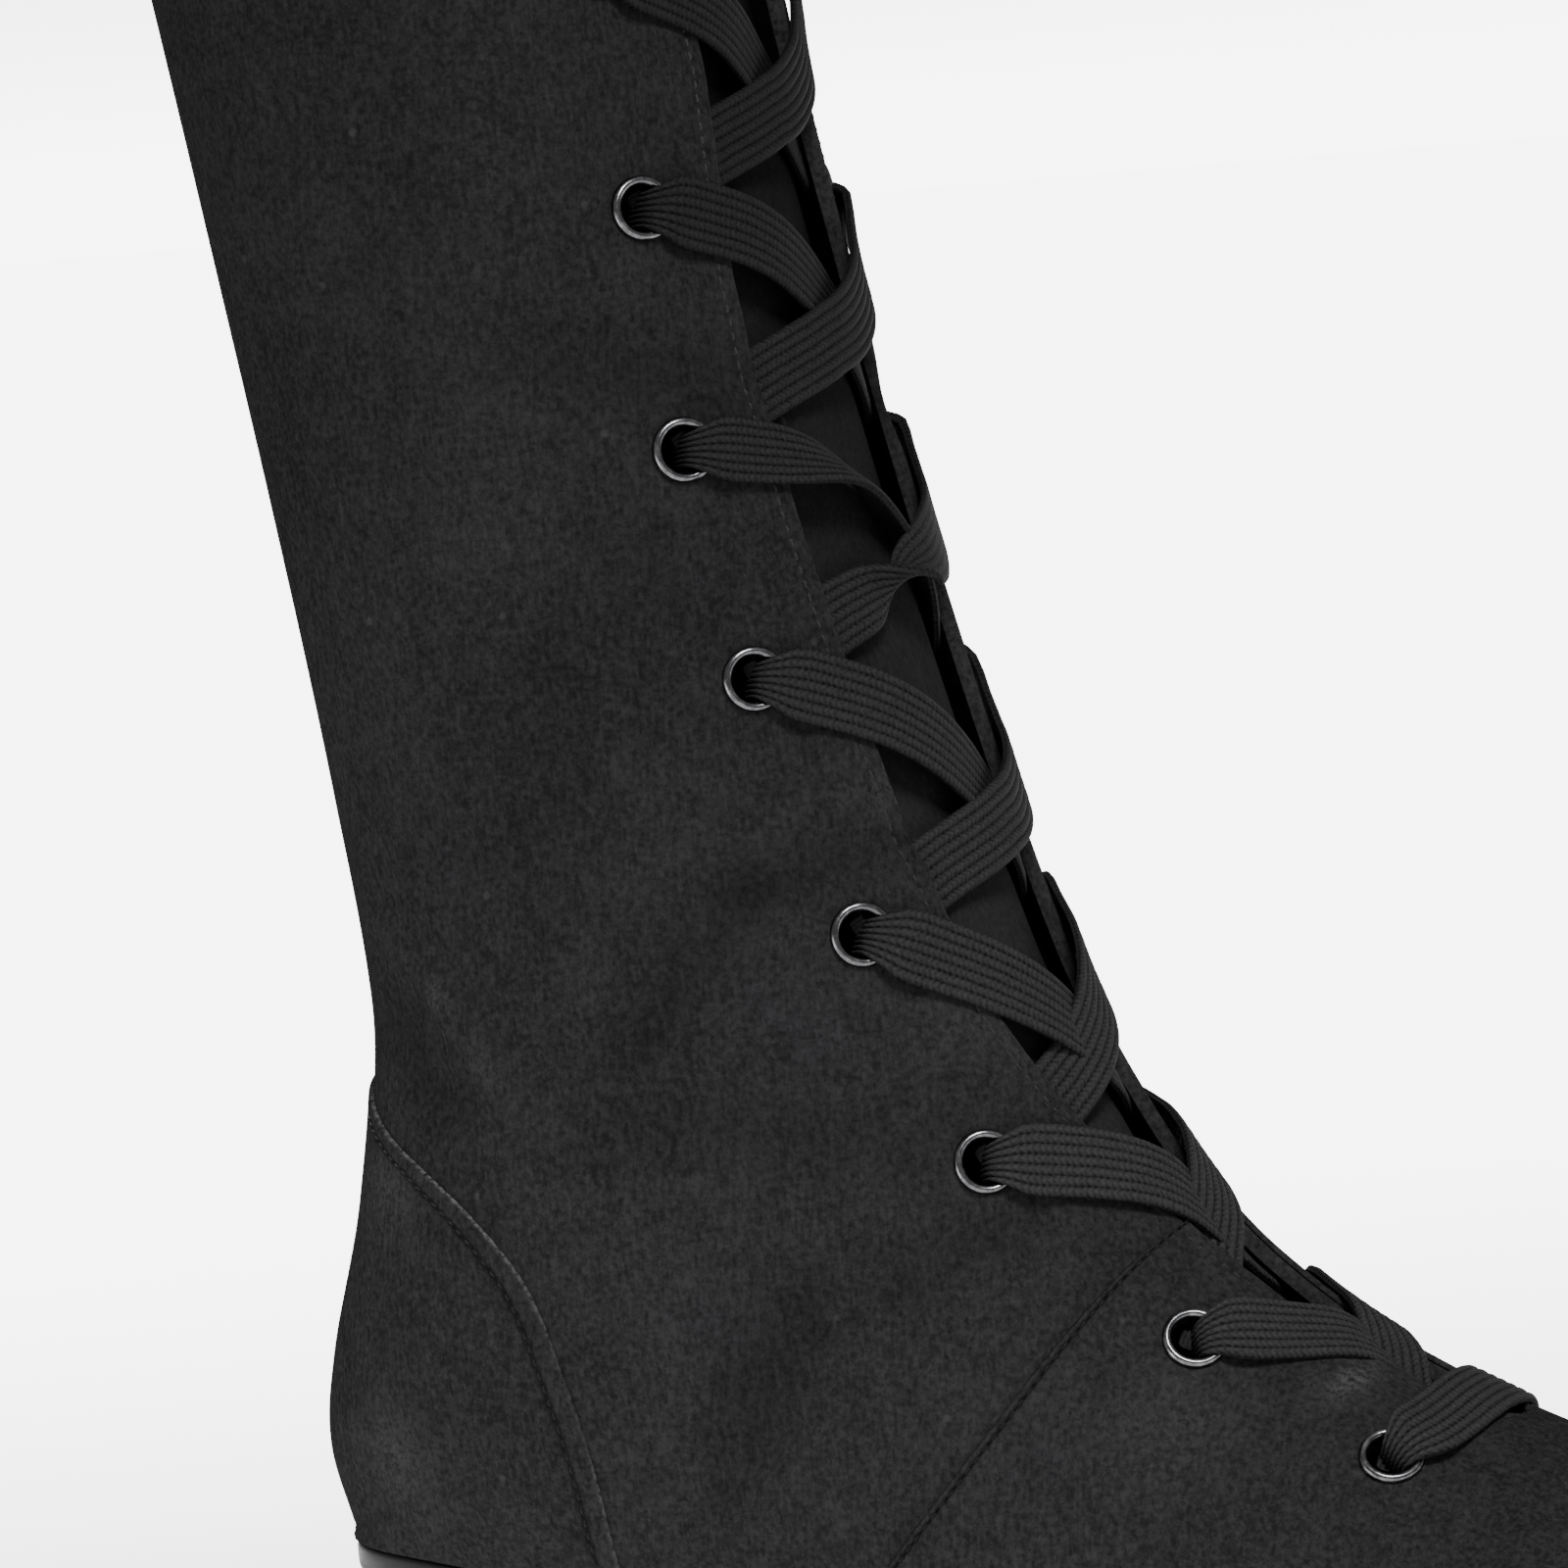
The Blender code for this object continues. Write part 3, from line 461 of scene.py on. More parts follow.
COUNTER_TOP = halved(COUNTER_WITHIN, COUNTER_ABOVE, lambda s: counter_t(s, -1) < 1.0)
COUNTER_FOOT = halved(COUNTER_WITHIN, COUNTER_BELOW, lambda s: counter_t(s, -1) < 1.0)
VAMP_TOP = halved(THROAT_ROUND_START, ANKLE, lambda s: vamp_t(s, -1) > throat_t(s, -1))
VAMP_FOOT = halved(VAMP_WITHIN, VAMP_BELOW, lambda s: vamp_t(s, -1) < 1.0)
VAMP_LEAST = 1e-4


def spaced(length, columns, at_end):
    """Distances from 0 to length, close together by a cut edge at the start, and at the end if at_end."""
    reach = min(1.0, EDGE_SHARE * length / EDGE_STEPS[-1])
    start = EDGE_STEPS * reach
    end = length - EDGE_STEPS[::-1] * reach if at_end else np.array([length])
    middle = np.linspace(start[-1], end[0], columns + 2)[1:-1]
    return np.concatenate([start, middle, end])


def panel_grid(rows, low, high, side, columns, at_end=False):
    """Grids (s, t, distance from the low edge, distance from the high edge) over a panel on one side."""
    table = []
    for s in rows:
        t, run = girth_line(s, side, low(s, side), high(s, side))
        steps = spaced(run[-1], columns, at_end)
        here = np.interp(steps, run, t)
        here[0], here[-1] = t[0], t[-1]
        table.append((np.full_like(steps, s), here, steps, run[-1] - steps))
    return [np.array(column) for column in zip(*table)]


def cut_edge(distance, cut):
    """How much lower a sheet lies close to an edge that is cut, as it rounds over."""
    return cut.depth * np.exp(-distance / cut.run)


def edge_line(distance, line):
    """Strength of a line beside an edge."""
    return line.strength * np.exp(-(((distance - line.place) / line.width) ** 2))


def throat_drop(s, distance):
    """How much lower the facing lies at its cut edge and in its seam's groove."""
    return np.where(s < THROAT_END, cut_edge(distance, FACING_CUT) + edge_line(distance, FACING_GROOVE), 0.0)


def upper_rows():
    leg = np.linspace(0.0, ANKLE, LEG_ROWS)
    heel = np.linspace(ANKLE, THROAT_ROUND_START, HEEL_ROWS)[1:]
    turn = np.sin(np.linspace(0.0, QUARTER_TURN, THROAT_ROWS)[1:])
    throat = THROAT_ROUND_START + (THROAT_END - THROAT_ROUND_START) * turn
    foot = np.linspace(THROAT_END, TOE_TIP, FOOT_ROWS)[1:]
    return np.concatenate([leg, heel, throat, foot])


def build_upper(suede, lining, holes):
    sides = []
    for side in (-1, 1):
        s, t, d, _ = panel_grid(upper_rows(), throat_t, end_t, side, UPPER_COLUMNS)
        base, normal = last_point(s, t, side), last_normal(s, t, side)
        height = fold_relief(base, t, side) - throat_drop(s, d)
        # Rubbed wear, pale wear on the facing's edge, painted shade in the folds and a painted highlight on
        # their ridges.
        wear = rubbed(base, t, side) + np.where(s < THROAT_END, edge_line(d, FACING_PALE), 0.0)
        sides.append((base + normal * height[..., None], base - normal * WALL, side < 0, wear))
    upper = shell("upper_suede", sides, suede, lining)
    cut_holes(upper, holes)
    return dress(upper, "suede", "upper")


def overlay_sides(rows, low, high, at_end, height, edge_paint):
    """Grids of an overlay. height gives its top, and the last function the pale wear, painted highlight and
    painted shade by its edges.
    """
    sides = []
    for side in (-1, 1):
        s, t, d_low, d_high = panel_grid(rows, low, high, side, OVERLAY_COLUMNS, at_end)
        base, normal = last_point(s, t, side), last_normal(s, t, side)
        folds = fold_relief(base, t, side)
        top = np.maximum(height(s, d_low, d_high) + folds, OVERLAY_SEAT + OVERLAY_LEAST)
        bottom = OVERLAY_SEAT + np.minimum(folds, 0.0)
        # Rubbed wear, painted shade and highlights of the folds, and the marks painted by the edges.
        wear = rubbed(base, t, side) + edge_paint(s, d_low, d_high)
        sides.append((base + normal * top[..., None], base + normal * bottom[..., None], side < 0, wear))
    return sides


def even_rows(edge, first, last, count):
    """Sections from first to last, spaced evenly along an overlay's edge, where edge gives its t."""
    s = np.linspace(first, last, EVEN_SAMPLES)
    run = run_along(np.array([last_point(v, edge(v, -1), -1) for v in s]))
    return np.interp(np.linspace(0.0, run[-1], count), run, s)


def counter_height(s, d_low, d_high):
    return OVERLAY - cut_edge(d_low, COUNTER_CUT) - edge_line(d_low, COUNTER_GROOVE)


def counter_edge(s, d_low, d_high):
    # A painted highlight along the counter's cut edge and painted shade in its stitch groove.
    edge_highlight = np.interp(s, EDGE_HIGHLIGHT_SECTIONS, EDGE_HIGHLIGHT_STRENGTHS)
    return edge_highlight * edge_line(d_low, COUNTER_EDGE_HIGHLIGHT) - edge_line(d_low, COUNTER_GROOVE_SHADE)


def counter_rows():
    return even_rows(counter_t, COUNTER_TOP, COUNTER_FOOT, COUNTER_ROWS)


def build_counter(suede):
    sides = overlay_sides(counter_rows(), counter_t, end_t, False, counter_height, counter_edge)
    return dress(shell("counter_suede", sides, suede), "suede", "counter")


def vamp_high(s, side):
    return max(vamp_t(s, side), throat_t(s, side) + VAMP_LEAST)


def vamp_height(s, d_low, d_high):
    seam = cut_edge(d_high, VAMP_CUT) + edge_line(d_high, VAMP_GROOVE)
    return OVERLAY - np.where(s <= VAMP_FOOT, seam, 0.0) - throat_drop(s, d_low)


def vamp_edge(s, d_low, d_high):
    pale = edge_line(d_low, VAMP_PALE) * (s < THROAT_END)
    # Painted shadow under the vamp's cut edge and painted shade in its stitch groove.
    painted_shade = edge_line(d_high, VAMP_EDGE_SHADOW) + edge_line(d_high, VAMP_GROOVE_SHADE)
    return pale - painted_shade * (s <= VAMP_FOOT)


def vamp_rows():
    return even_rows(vamp_t, VAMP_TOP, VAMP_FOOT, VAMP_ROWS)


def build_vamp(suede, holes):
    ahead = upper_rows()
    rows = np.unique(np.concatenate([vamp_rows(), ahead[ahead > VAMP_FOOT]]))
    vamp = shell("vamp_suede", overlay_sides(rows, throat_t, vamp_high, True, vamp_height, vamp_edge), suede)
    cut_holes(vamp, holes)
    return dress(vamp, "suede", "vamp")


# Tongue

TONGUE_THICKNESS = 1.5 * MM
TONGUE_DEPTH = 4.4 * MM
TONGUE_OVERLAP = 8.0 * MM
TONGUE_TOP = -0.36
TONGUE_SHOULDER = -0.05
TONGUE_ROUNDING = 0.3
TONGUE_END = 14.1
TONGUE_FOOT = 2.4 * MM
TONGUE_EDGE = 0.4 * MM
TONGUE_EDGE_POWER = 16
TONGUE_TOP_ROWS = 16
TONGUE_ROWS = 130
TONGUE_COLUMNS = 29


def tongue_reach(s):
    past = np.clip((TONGUE_SHOULDER - s) / (TONGUE_SHOULDER - TONGUE_TOP), 0.0, 1.0)
    return (half_gap(s) + TONGUE_OVERLAP) * (1.0 - TONGUE_ROUNDING * past * past)


def tongue_depth(s):
    foot = np.clip((s - THROAT_ROUND_START) / (TONGUE_END - THROAT_ROUND_START), 0.0, 1.0)
    return TONGUE_DEPTH + (TONGUE_FOOT - TONGUE_DEPTH) * foot


def build_tongue(finish):
    top = np.linspace(TONGUE_TOP, TONGUE_SHOULDER, TONGUE_TOP_ROWS)[:-1]
    rows = np.concatenate([top, np.linspace(TONGUE_SHOULDER, TONGUE_END, TONGUE_ROWS)])
    outer, inner = [], []
    for s in rows:
        for share in np.linspace(-1.0, 1.0, TONGUE_COLUMNS):
            point, normal = taped_point(s, share * tongue_reach(s))
            edge = TONGUE_EDGE * abs(share) ** TONGUE_EDGE_POWER
            outer.append(point - normal * (tongue_depth(s) + edge))
            inner.append(point - normal * (tongue_depth(s) + TONGUE_THICKNESS - edge))
    shape = (len(rows), TONGUE_COLUMNS, 3)
    sheet = (np.array(outer).reshape(shape), np.array(inner).reshape(shape), False, np.zeros(shape[:2]))
    return dress(shell("tongue_strip", [sheet], finish), "lining", "tongue")


# Eyelets

EYELET_BORE = 2.85 * MM
EYELET_FLANGE = 4.05 * MM
EYELET_BARREL = 3.15 * MM
EYELET_HEIGHT = 0.85 * MM
EYELET_LIP = 0.15
EYELET_BITE = 0.05 * MM
EYELET_FOOT = 0.3 * MM
EYELET_HOLE = 3.2 * MM
EYELET_SIDES = 48
ROLL_POINTS = 10
HOLE_SIDES = 32
HOLE_REACH = 4 * WALL


def eyelet_lift(pair):
    """How far the face that a pair of eyelets sits on stands off the last."""
    return OVERLAY if pair >= FIRST_VAMP_EYELET else 0.0


def eyelet_frame(pair, side):
    """Place of an eyelet: its z axis is the outward normal, and it sits on the face around its hole."""
    place, normal = taped_point(EYELETS[pair].section, side * EYELETS[pair].girth * MM)
    turn = Vector(normal).to_track_quat("Z", "Y").to_matrix().to_4x4()
    turn.translation = Vector(place + normal * eyelet_lift(pair))
    return np.array(turn)


def ring_of(radius, height, sides):
    """Points of circles about the z axis, a row for each side and a column for each radius and height."""
    angle = np.linspace(0.0, FULL_TURN, sides, endpoint=False)
    x, y = np.outer(np.cos(angle), radius), np.outer(np.sin(angle), radius)
    return np.stack([x, y, np.broadcast_to(height, x.shape)], -1)


def placed(points, matrix):
    return points.reshape(-1, 3) @ matrix[:3, :3].T + matrix[:3, 3]


def eyelet_profile(lift):
    """(radius, height) of a rolled flange on the facing and a barrel that goes through the wall."""
    middle, half = 0.5 * (EYELET_BORE + EYELET_FLANGE), 0.5 * (EYELET_FLANGE - EYELET_BORE)
    profile = []
    for angle in np.linspace(0.0, math.pi, ROLL_POINTS):
        height = EYELET_HEIGHT * (EYELET_LIP + (1 - EYELET_LIP) * math.sin(angle))
        profile.append((middle - half * math.cos(angle), height))
    foot = -(lift + WALL + EYELET_FOOT)
    profile += [(EYELET_FLANGE, -EYELET_BITE), (EYELET_BARREL, -EYELET_BITE)]
    return np.array(profile + [(EYELET_BARREL, foot), (EYELET_BORE, foot)]).T


def build_eyelets(metal):
    for pair in range(len(EYELETS)):
        radius, height = eyelet_profile(eyelet_lift(pair))
        ring = ring_of(radius, height, EYELET_SIDES)
        corners = len(radius)
        faces = grid_quads(EYELET_SIDES + 1, corners, closed=True) % (EYELET_SIDES * corners)
        for side, word in ((-1, "outer"), (1, "inner")):
            name = f"eyelet_{word}_{pair + 1}"
            points = placed(ring, eyelet_frame(pair, side))
            dress(new_object(f"{name}_ring", points, faces.tolist(), metal), "eyelet_metal", name)


def eyelet_holes():
    """One hidden cutter with a round bar at each eyelet."""
    bar = ring_of(np.full(2, EYELET_HOLE), np.array([HOLE_REACH, -HOLE_REACH]), HOLE_SIDES).swapaxes(0, 1)
    points, faces = [], []
    for pair in range(len(EYELETS)):
        for side in (-1, 1):
            top = list(range(len(points), len(points) + HOLE_SIDES))
            faces += [top, [v + HOLE_SIDES for v in top[::-1]]]
            faces += grid_quads(2, HOLE_SIDES, top[0], closed=True).tolist()
            points.extend(placed(bar, eyelet_frame(pair, side)).tolist())
    mesh = bpy.data.meshes.new("eyelet_holes")
    mesh.from_pydata(points, [], faces)
    made = bpy.data.objects.new("eyelet_holes", mesh)
    bpy.context.scene.collection.objects.link(made)
    return made


# Lace

LACE_WIDTH = 9.2 * MM
LACE_THICKNESS = 1.1 * MM
LACE_RIBS = 7
LACE_RIB_HEIGHT = 0.23 * MM
LACE_RIB_MIDDLE = 0.6
LACE_FACE_POINTS = 43
LACE_BACK_POINTS = 15
LACE_BACK_SHARE = 0.96
# How much thinner the lace is at its edges, and how suddenly.
LACE_FACE_EDGE = (0.55, 10)
LACE_BACK_EDGE = (0.4, 8)
LACE_BEND = 0.05
STRAND_POINTS = 44
BAR_POINTS = 26
UNDER_LIFT = -3.2
FACING_MARGIN = 1.0
CROSSING_LIFT = 0.62
CROSSING_REACH = 0.5
BAR_BOW = 0.12

# Rise of a lace out of an eyelet: (distance from the eyelet's middle, lift over the facing, share of
# the full width, share of the full thickness), in millimetres.
EYELET_RISE = np.array([
    (0.8, -3.2, 0.5, 1.8), (0.9, -1.6, 0.5, 1.8), (1.1, -0.3, 0.53, 1.7), (1.6, 0.75, 0.62, 1.5),
    (2.5, 1.45, 0.76, 1.3), (3.7, 1.68, 0.93, 1.12), (5.4, 1.4, 1.0, 1.05), (7.6, 0.95, 1.0, 1.0),
    (11.0, 0.64, 1.0, 1.0),
])
# A lace's way under the facing and up into the lower eyelet, in the same columns.
EYELET_SINK = np.array([
    (9.0, -3.3, 1.0, 1.0), (5.0, -3.5, 0.8, 1.1), (2.0, -3.0, 0.55, 1.5), (0.8, -1.6, 0.42, 1.9),
])

# On the shaft the inner side's strands run down their facing before they cross: (share of the way
# across, how much further down than a straight strand).
INNER_LEAD = np.array([
    (0.0, 0.0), (0.1, 0.13), (0.2, 0.23), (0.35, 0.24), (0.5, 0.19), (0.8, 0.05), (1.0, 0.0),
])
SHAFT_CROSSINGS = 5

# Strands that don't lie flat, by (crossing, side): rows of (share of the way, roll in degrees, share of
# the width, extra lift in millimetres, how much further down than otherwise).
TURNS = {
    (3, 1): (
        (0.0, -180.0, 1.0, 0.0, 0.0), (0.36, -178.0, 1.0, 0.1, 0.0), (0.47, -158.0, 0.86, 0.4, 0.0),
        (0.56, -80.0, 0.62, 0.7, 0.0), (0.66, -6.0, 0.9, 0.3, 0.0), (0.8, 0.0, 1.0, 0.0, 0.0),
        (1.0, 0.0, 1.0, 0.0, 0.0),
    ),
    (3, -1): (
        (0.0, 0.0, 0.9, 0.0, 0.0), (0.2, -8.0, 0.84, 0.0, -0.03), (0.42, -50.0, 0.6, -0.2, -0.1),
        (0.6, -40.0, 0.7, -0.3, -0.08), (0.8, 0.0, 1.0, 0.0, 0.0), (1.0, 0.0, 1.0, 0.0, 0.0),
    ),
}
FLAT = ((0.0, 0.0, 1.0, 0.0, 0.0), (1.0, 0.0, 1.0, 0.0, 0.0))


def smooth_step(x):
    x = np.clip(x, 0.0, 1.0)
    return x * x * (3 - 2 * x)


def at_share(table, share):
    """Rows of a table whose first column is a share of the way, on a smooth curve through them."""
    rows = np.array(table)
    return smooth_curve(rows, np.interp(share, rows[:, 0], np.arange(len(rows))))


def strand_path(pair, over_side):
    """Rows (girth, section, lift, width, thickness, roll) of a lace from an eyelet to the next one down.

    It crosses the throat from over_side to the other side.
    """
    high, low = EYELETS[pair], EYELETS[pair + 1]
    total = high.girth + low.girth
    rise, sink = EYELET_RISE, EYELET_SINK
    main = np.linspace(rise[-1, 0], total - sink[0, 0], STRAND_POINTS)[1:-1]
    along = np.concatenate([rise[:, 0], main, total - sink[:, 0]])
    width = np.concatenate([rise[:, 2], np.ones_like(main), sink[:, 2]])
    thickness = np.concatenate([rise[:, 3], np.ones_like(main), sink[:, 3]])
    share = along / total
    early = -LACE_BEND * np.sin(FULL_TURN * share)
    if over_side > 0 and pair < SHAFT_CROSSINGS:
        early = at_share(INNER_LEAD, share)[:, 1]
    _, roll, narrow, extra, further = at_share(TURNS.get((pair, over_side), FLAT), share).T
    s = high.section + (low.section - high.section) * (share + early + further)
    girth = high.girth - along
    face = eyelet_lift(pair) / MM
    over = rise[-1, 1] + max(face, eyelet_lift(pair + 1) / MM)
    lift = []
    for k, distance in enumerate(along):
        gap = half_gap(s[k]) / MM
        across = smooth_step((girth[k] + gap + FACING_MARGIN) / (2 * (gap + FACING_MARGIN)))
        flat = UNDER_LIFT + (over - UNDER_LIFT) * across
        flat += over_side * CROSSING_LIFT * math.exp(-((girth[k] / (CROSSING_REACH * gap)) ** 2))
        if distance <= rise[-1, 0]:
            blend = smooth_step(distance / rise[-1, 0])
            flat = (rise[k, 1] + face) * (1 - blend) + max(rise[k, 1] + face, flat) * blend
        elif total - distance <= sink[0, 0]:
            flat = sink[k - len(along) + len(sink), 1]
        lift.append(flat)
    lift = (np.array(lift) + extra) * MM
    return np.column_stack([over_side * girth * MM, s, lift, width * narrow, thickness, np.radians(roll)])


def bar_path():
    """Rows like a strand's, of the straight bar over the lowest pair of eyelets."""
    pair = len(EYELETS) - 1
    reach, rise = EYELETS[pair].girth, EYELET_RISE
    main = np.linspace(rise[-1, 0], 2 * reach - rise[-1, 0], BAR_POINTS)[1:-1]
    flat = np.repeat(rise[-1:], len(main), axis=0)
    _, lift, width, thickness = np.concatenate([rise, flat, rise[::-1]]).T
    girth = np.concatenate([rise[:, 0], main, 2 * reach - rise[::-1, 0]]) - reach
    s = EYELETS[pair].section - BAR_BOW * np.cos(QUARTER_TURN * girth / reach) ** 2
    lift = lift * MM + eyelet_lift(pair)
    return np.column_stack([girth * MM, s, lift, width, thickness, np.zeros_like(girth)])


def lace_outline():
    """Cross-section of the flat lace as (share across, height): ribbed on its face, plain on its back."""
    across = np.linspace(-1.0, 1.0, LACE_FACE_POINTS)
    back = np.linspace(LACE_BACK_SHARE, -LACE_BACK_SHARE, LACE_BACK_POINTS)
    half = 0.5 * LACE_THICKNESS
    thinner, power = LACE_FACE_EDGE
    rib = np.abs(np.cos(QUARTER_TURN * (LACE_RIBS * (across + 1.0) + 1.0)))
    face = half * (1 - thinner * np.abs(across) ** power) + LACE_RIB_HEIGHT * (rib - LACE_RIB_MIDDLE)
    thinner, power = LACE_BACK_EDGE
    low = -half * (1 - thinner * np.abs(back) ** power)
    return np.vstack([np.column_stack([across, face]), np.column_stack([back, low])])


def strand_mesh(path):
    """(points, faces, uv) of a lace along a path. uv runs along it and across it, in its widths."""
    found = [taped_point(row[1], row[0]) for row in path]
    base, normal = np.array([p for p, _ in found]), np.array([n for _, n in found])
    points = base + normal * path[:, 2:3]
    forward = np.gradient(points, axis=0)
    forward /= np.linalg.norm(forward, axis=1, keepdims=True)
    across = np.cross(normal, np.gradient(base, axis=0))
    across -= forward * np.sum(across * forward, axis=1, keepdims=True)
    across /= np.linalg.norm(across, axis=1, keepdims=True)
    up = np.cross(forward, across)
    turn = path[:, 5:6]
    across, up = across * np.cos(turn) + up * np.sin(turn), up * np.cos(turn) - across * np.sin(turn)
    outline = lace_outline()
    wide = 0.5 * LACE_WIDTH * path[:, 3][:, None, None] * outline[None, :, :1]
    high = path[:, 4][:, None, None] * outline[None, :, 1:]
    ring = points[:, None, :] + across[:, None, :] * wide + up[:, None, :] * high
    rows, columns = ring.shape[:2]
    faces = grid_quads(rows, columns, closed=True).tolist()
    faces.append(list(range(columns)))
    faces.append(list(range((rows - 1) * columns, rows * columns))[::-1])
    u, v = np.broadcast_arrays((run_along(points) / LACE_WIDTH)[:, None], 0.5 + 0.5 * outline[None, :, 0])
    return ring.reshape(-1, 3), faces, np.stack([u, v], -1).reshape(-1, 2)


def lace_object(name, paths, finish):
    """A piece of the lace from one strand or several."""
    points, faces, uv = [], [], []
    for path in paths:
        more, quads, places = strand_mesh(path)
        faces += [[len(points) + v for v in quad] for quad in quads]
        points.extend(more)
        uv.append(places)
    made = new_object(name, points, faces, finish)
    layer = made.data.uv_layers.new(name="lace")
    corner = np.empty(len(made.data.loops), int)
    made.data.loops.foreach_get("vertex_index", corner)
    layer.data.foreach_set("uv", np.concatenate(uv)[corner].ravel())
    return made


def build_lace(finish):
    for pair in range(len(EYELETS) - 1):
        made = lace_object(f"lace_{pair + 1}", [strand_path(pair, 1), strand_path(pair, -1)], finish)
        dress(made, "lace", f"lace_crossing_{pair + 1}")
    dress(lace_object("lace_foot_bar", [bar_path()], finish), "lace", "lace_bar")


# Stitches

STITCH_PITCH = 1.75 * MM
STITCH_LENGTH = 1.3 * MM
STITCH_STATIONS = 5
STITCH_SIDES = 6
STITCH_TAPER = 0.75
STITCH_LIFT = 0.55
STITCH_DIP = 1.3
THREAD = 0.17 * MM
FACING_ROWS = 160
VAMP_FACING_ROWS = 60
FACING_TOP = 0.03
FACING_CLEAR = 0.1
COUNTER_CLEAR_ROWS = 4
VAMP_CLEAR_ROWS = 3


def stitch_row(line, normals):
    """(points, faces) of stitches along a line on the suede, each a short thread that dips at both ends."""
    run = run_along(line)
    points, faces = [], []
    shares = np.linspace(-1.0, 1.0, STITCH_STATIONS)
    angles = np.linspace(0.0, FULL_TURN, STITCH_SIDES, endpoint=False)
    for middle in np.arange(STITCH_PITCH, run[-1] - STITCH_PITCH, STITCH_PITCH):
        where = middle + 0.5 * STITCH_LENGTH * shares
        spine = np.column_stack([np.interp(where, run, line[:, k]) for k in range(3)])
        up = np.array([np.interp(middle, run, normals[:, k]) for k in range(3)])
        along = spine[-1] - spine[0]
        sideways = np.cross(along / np.linalg.norm(along), up)
        start = len(points)
        for place, share in zip(spine, shares):
            size = THREAD * (1.0 - STITCH_TAPER * abs(share) ** 3)
            lift = THREAD * (STITCH_LIFT - STITCH_DIP * share * share)
            for a in angles:
                points.append(place + up * (lift + size * math.sin(a)) + sideways * size * math.cos(a))
        faces += grid_quads(STITCH_STATIONS, STITCH_SIDES, start, flip=True, closed=True).tolist()
        faces.append(list(range(start, start + STITCH_SIDES)))
        faces.append(list(range(len(points) - STITCH_SIDES, len(points)))[::-1])
    return points, faces


def seam_points(rows, t_of, side, distance, lift):
    """Points and normals at a distance along the sections from an edge, where t_of gives the edge."""
    line, normals = [], []
    for s in rows:
        t, run = girth_line(s, side)
        place = float(np.interp(np.interp(t_of(s, side), t, run) + distance, run, t))
        point, normal = last_point(s, place, side), last_normal(s, place, side)
        height = fold_relief(point[None], np.array([place]), side)[0]
        line.append(point + normal * (lift + height))
        normals.append(normal)
    return np.array(line), np.array(normals)


def build_stitches(seam_thread, facing_thread):
    """Rows of stitches, each in the groove beside its edge."""
    counter = counter_rows()[COUNTER_CLEAR_ROWS:-COUNTER_CLEAR_ROWS]
    vamp = vamp_rows()[VAMP_CLEAR_ROWS:-VAMP_CLEAR_ROWS]
    facing = np.linspace(FACING_TOP, VAMP_TOP - FACING_CLEAR, FACING_ROWS)
    vamp_facing = np.linspace(VAMP_TOP + FACING_CLEAR, THROAT_END, VAMP_FACING_ROWS)
    for name, rows, t_of, inward, groove, face, thread in (
        ("counter", counter, counter_t, 1, COUNTER_GROOVE, OVERLAY, seam_thread),
        ("vamp", vamp, vamp_high, -1, VAMP_GROOVE, OVERLAY, seam_thread),
        ("facing", facing, throat_t, 1, FACING_GROOVE, 0.0, facing_thread),
        ("vamp_facing", vamp_facing, throat_t, 1, FACING_GROOVE, OVERLAY, facing_thread),
    ):
        points, faces = [], []
        for side in (-1, 1):
            line = seam_points(rows, t_of, side, inward * groove.place, face - groove.strength)
            more, quads = stitch_row(*line)
            faces += [[len(points) + v for v in quad] for quad in quads]
            points += more
        dress(new_object(f"{name}_stitches", points, faces, thread), "suede")


# Sole, heel and insole

SOLE_STEPS = 120
SEAT_STEPS = 40
TOE_STEPS = 24
SOLE_THICKNESS = 3.9 * MM
SOLE_GAP = 0.5 * MM
SOLE_HEEL_MARGIN = 0.3 * MM
SOLE_TOE_MARGIN = 1.6 * MM
SOLE_FLARE_RUN = 150 * MM
SOLE_WELD = 1e-6
HEEL_BREAST = 12.35
HEEL_BREAST_RAKE = 7.0 * MM
HEEL_BACK_RAKE = 5.0 * MM
HEEL_TAPER = 0.87
HEEL_HALF_WIDTH = 28 * MM
INSOLE_THICKNESS = 2.4 * MM
INSOLE_INSET = 3.4 * MM
INSOLE_GAP = 0.35 * MM

# Edges of the sole and the insole from the top down: (share of the height, inset in millimetres).
SOLE_LEVELS = (
    (1.0, 0.4), (0.93, 0.096), (0.82, 0.0), (0.4, 0.0), (0.22, 0.08), (0.08, 0.28), (0.0, 0.64),
)
INSOLE_LEVELS = ((1.0, 1.6), (0.93, 0.7), (0.7, 0.1), (0.5, 0.0), (0.2, 0.1), (0.0, 0.6))
# The heel from its top down, with a groove above its top piece: (share of the way down, inset).
HEEL_LEVELS = (
    (0.0, 0.6), (0.015, 0.1), (0.04, 0.0), (0.2, 0.0), (0.4, 0.0), (0.6, 0.0), (0.8, 0.0), (0.86, 0.0),
    (0.868, 0.35), (0.876, 0.35), (0.884, 0.0), (0.96, 0.0), (0.985, 0.15), (1.0, 0.7),
)


def sole_outline():
    """(outer, inner) points of the feather line from the heel's back, round the toe to its tip."""
    seat = HEEL_SEAT + 1 - np.cos(np.linspace(0.0, QUARTER_TURN, SEAT_STEPS))
    s = np.concatenate([seat, np.linspace(HEEL_SEAT + 1, TOE_TIP, SOLE_STEPS)[1:]])
    turn = np.linspace(1.0, 0.0, TOE_STEPS + 1)[1:]
    return [np.concatenate([last_point(s, 1.0, side), last_point(TOE_TIP, turn, side)]) for side in (-1, 1)]


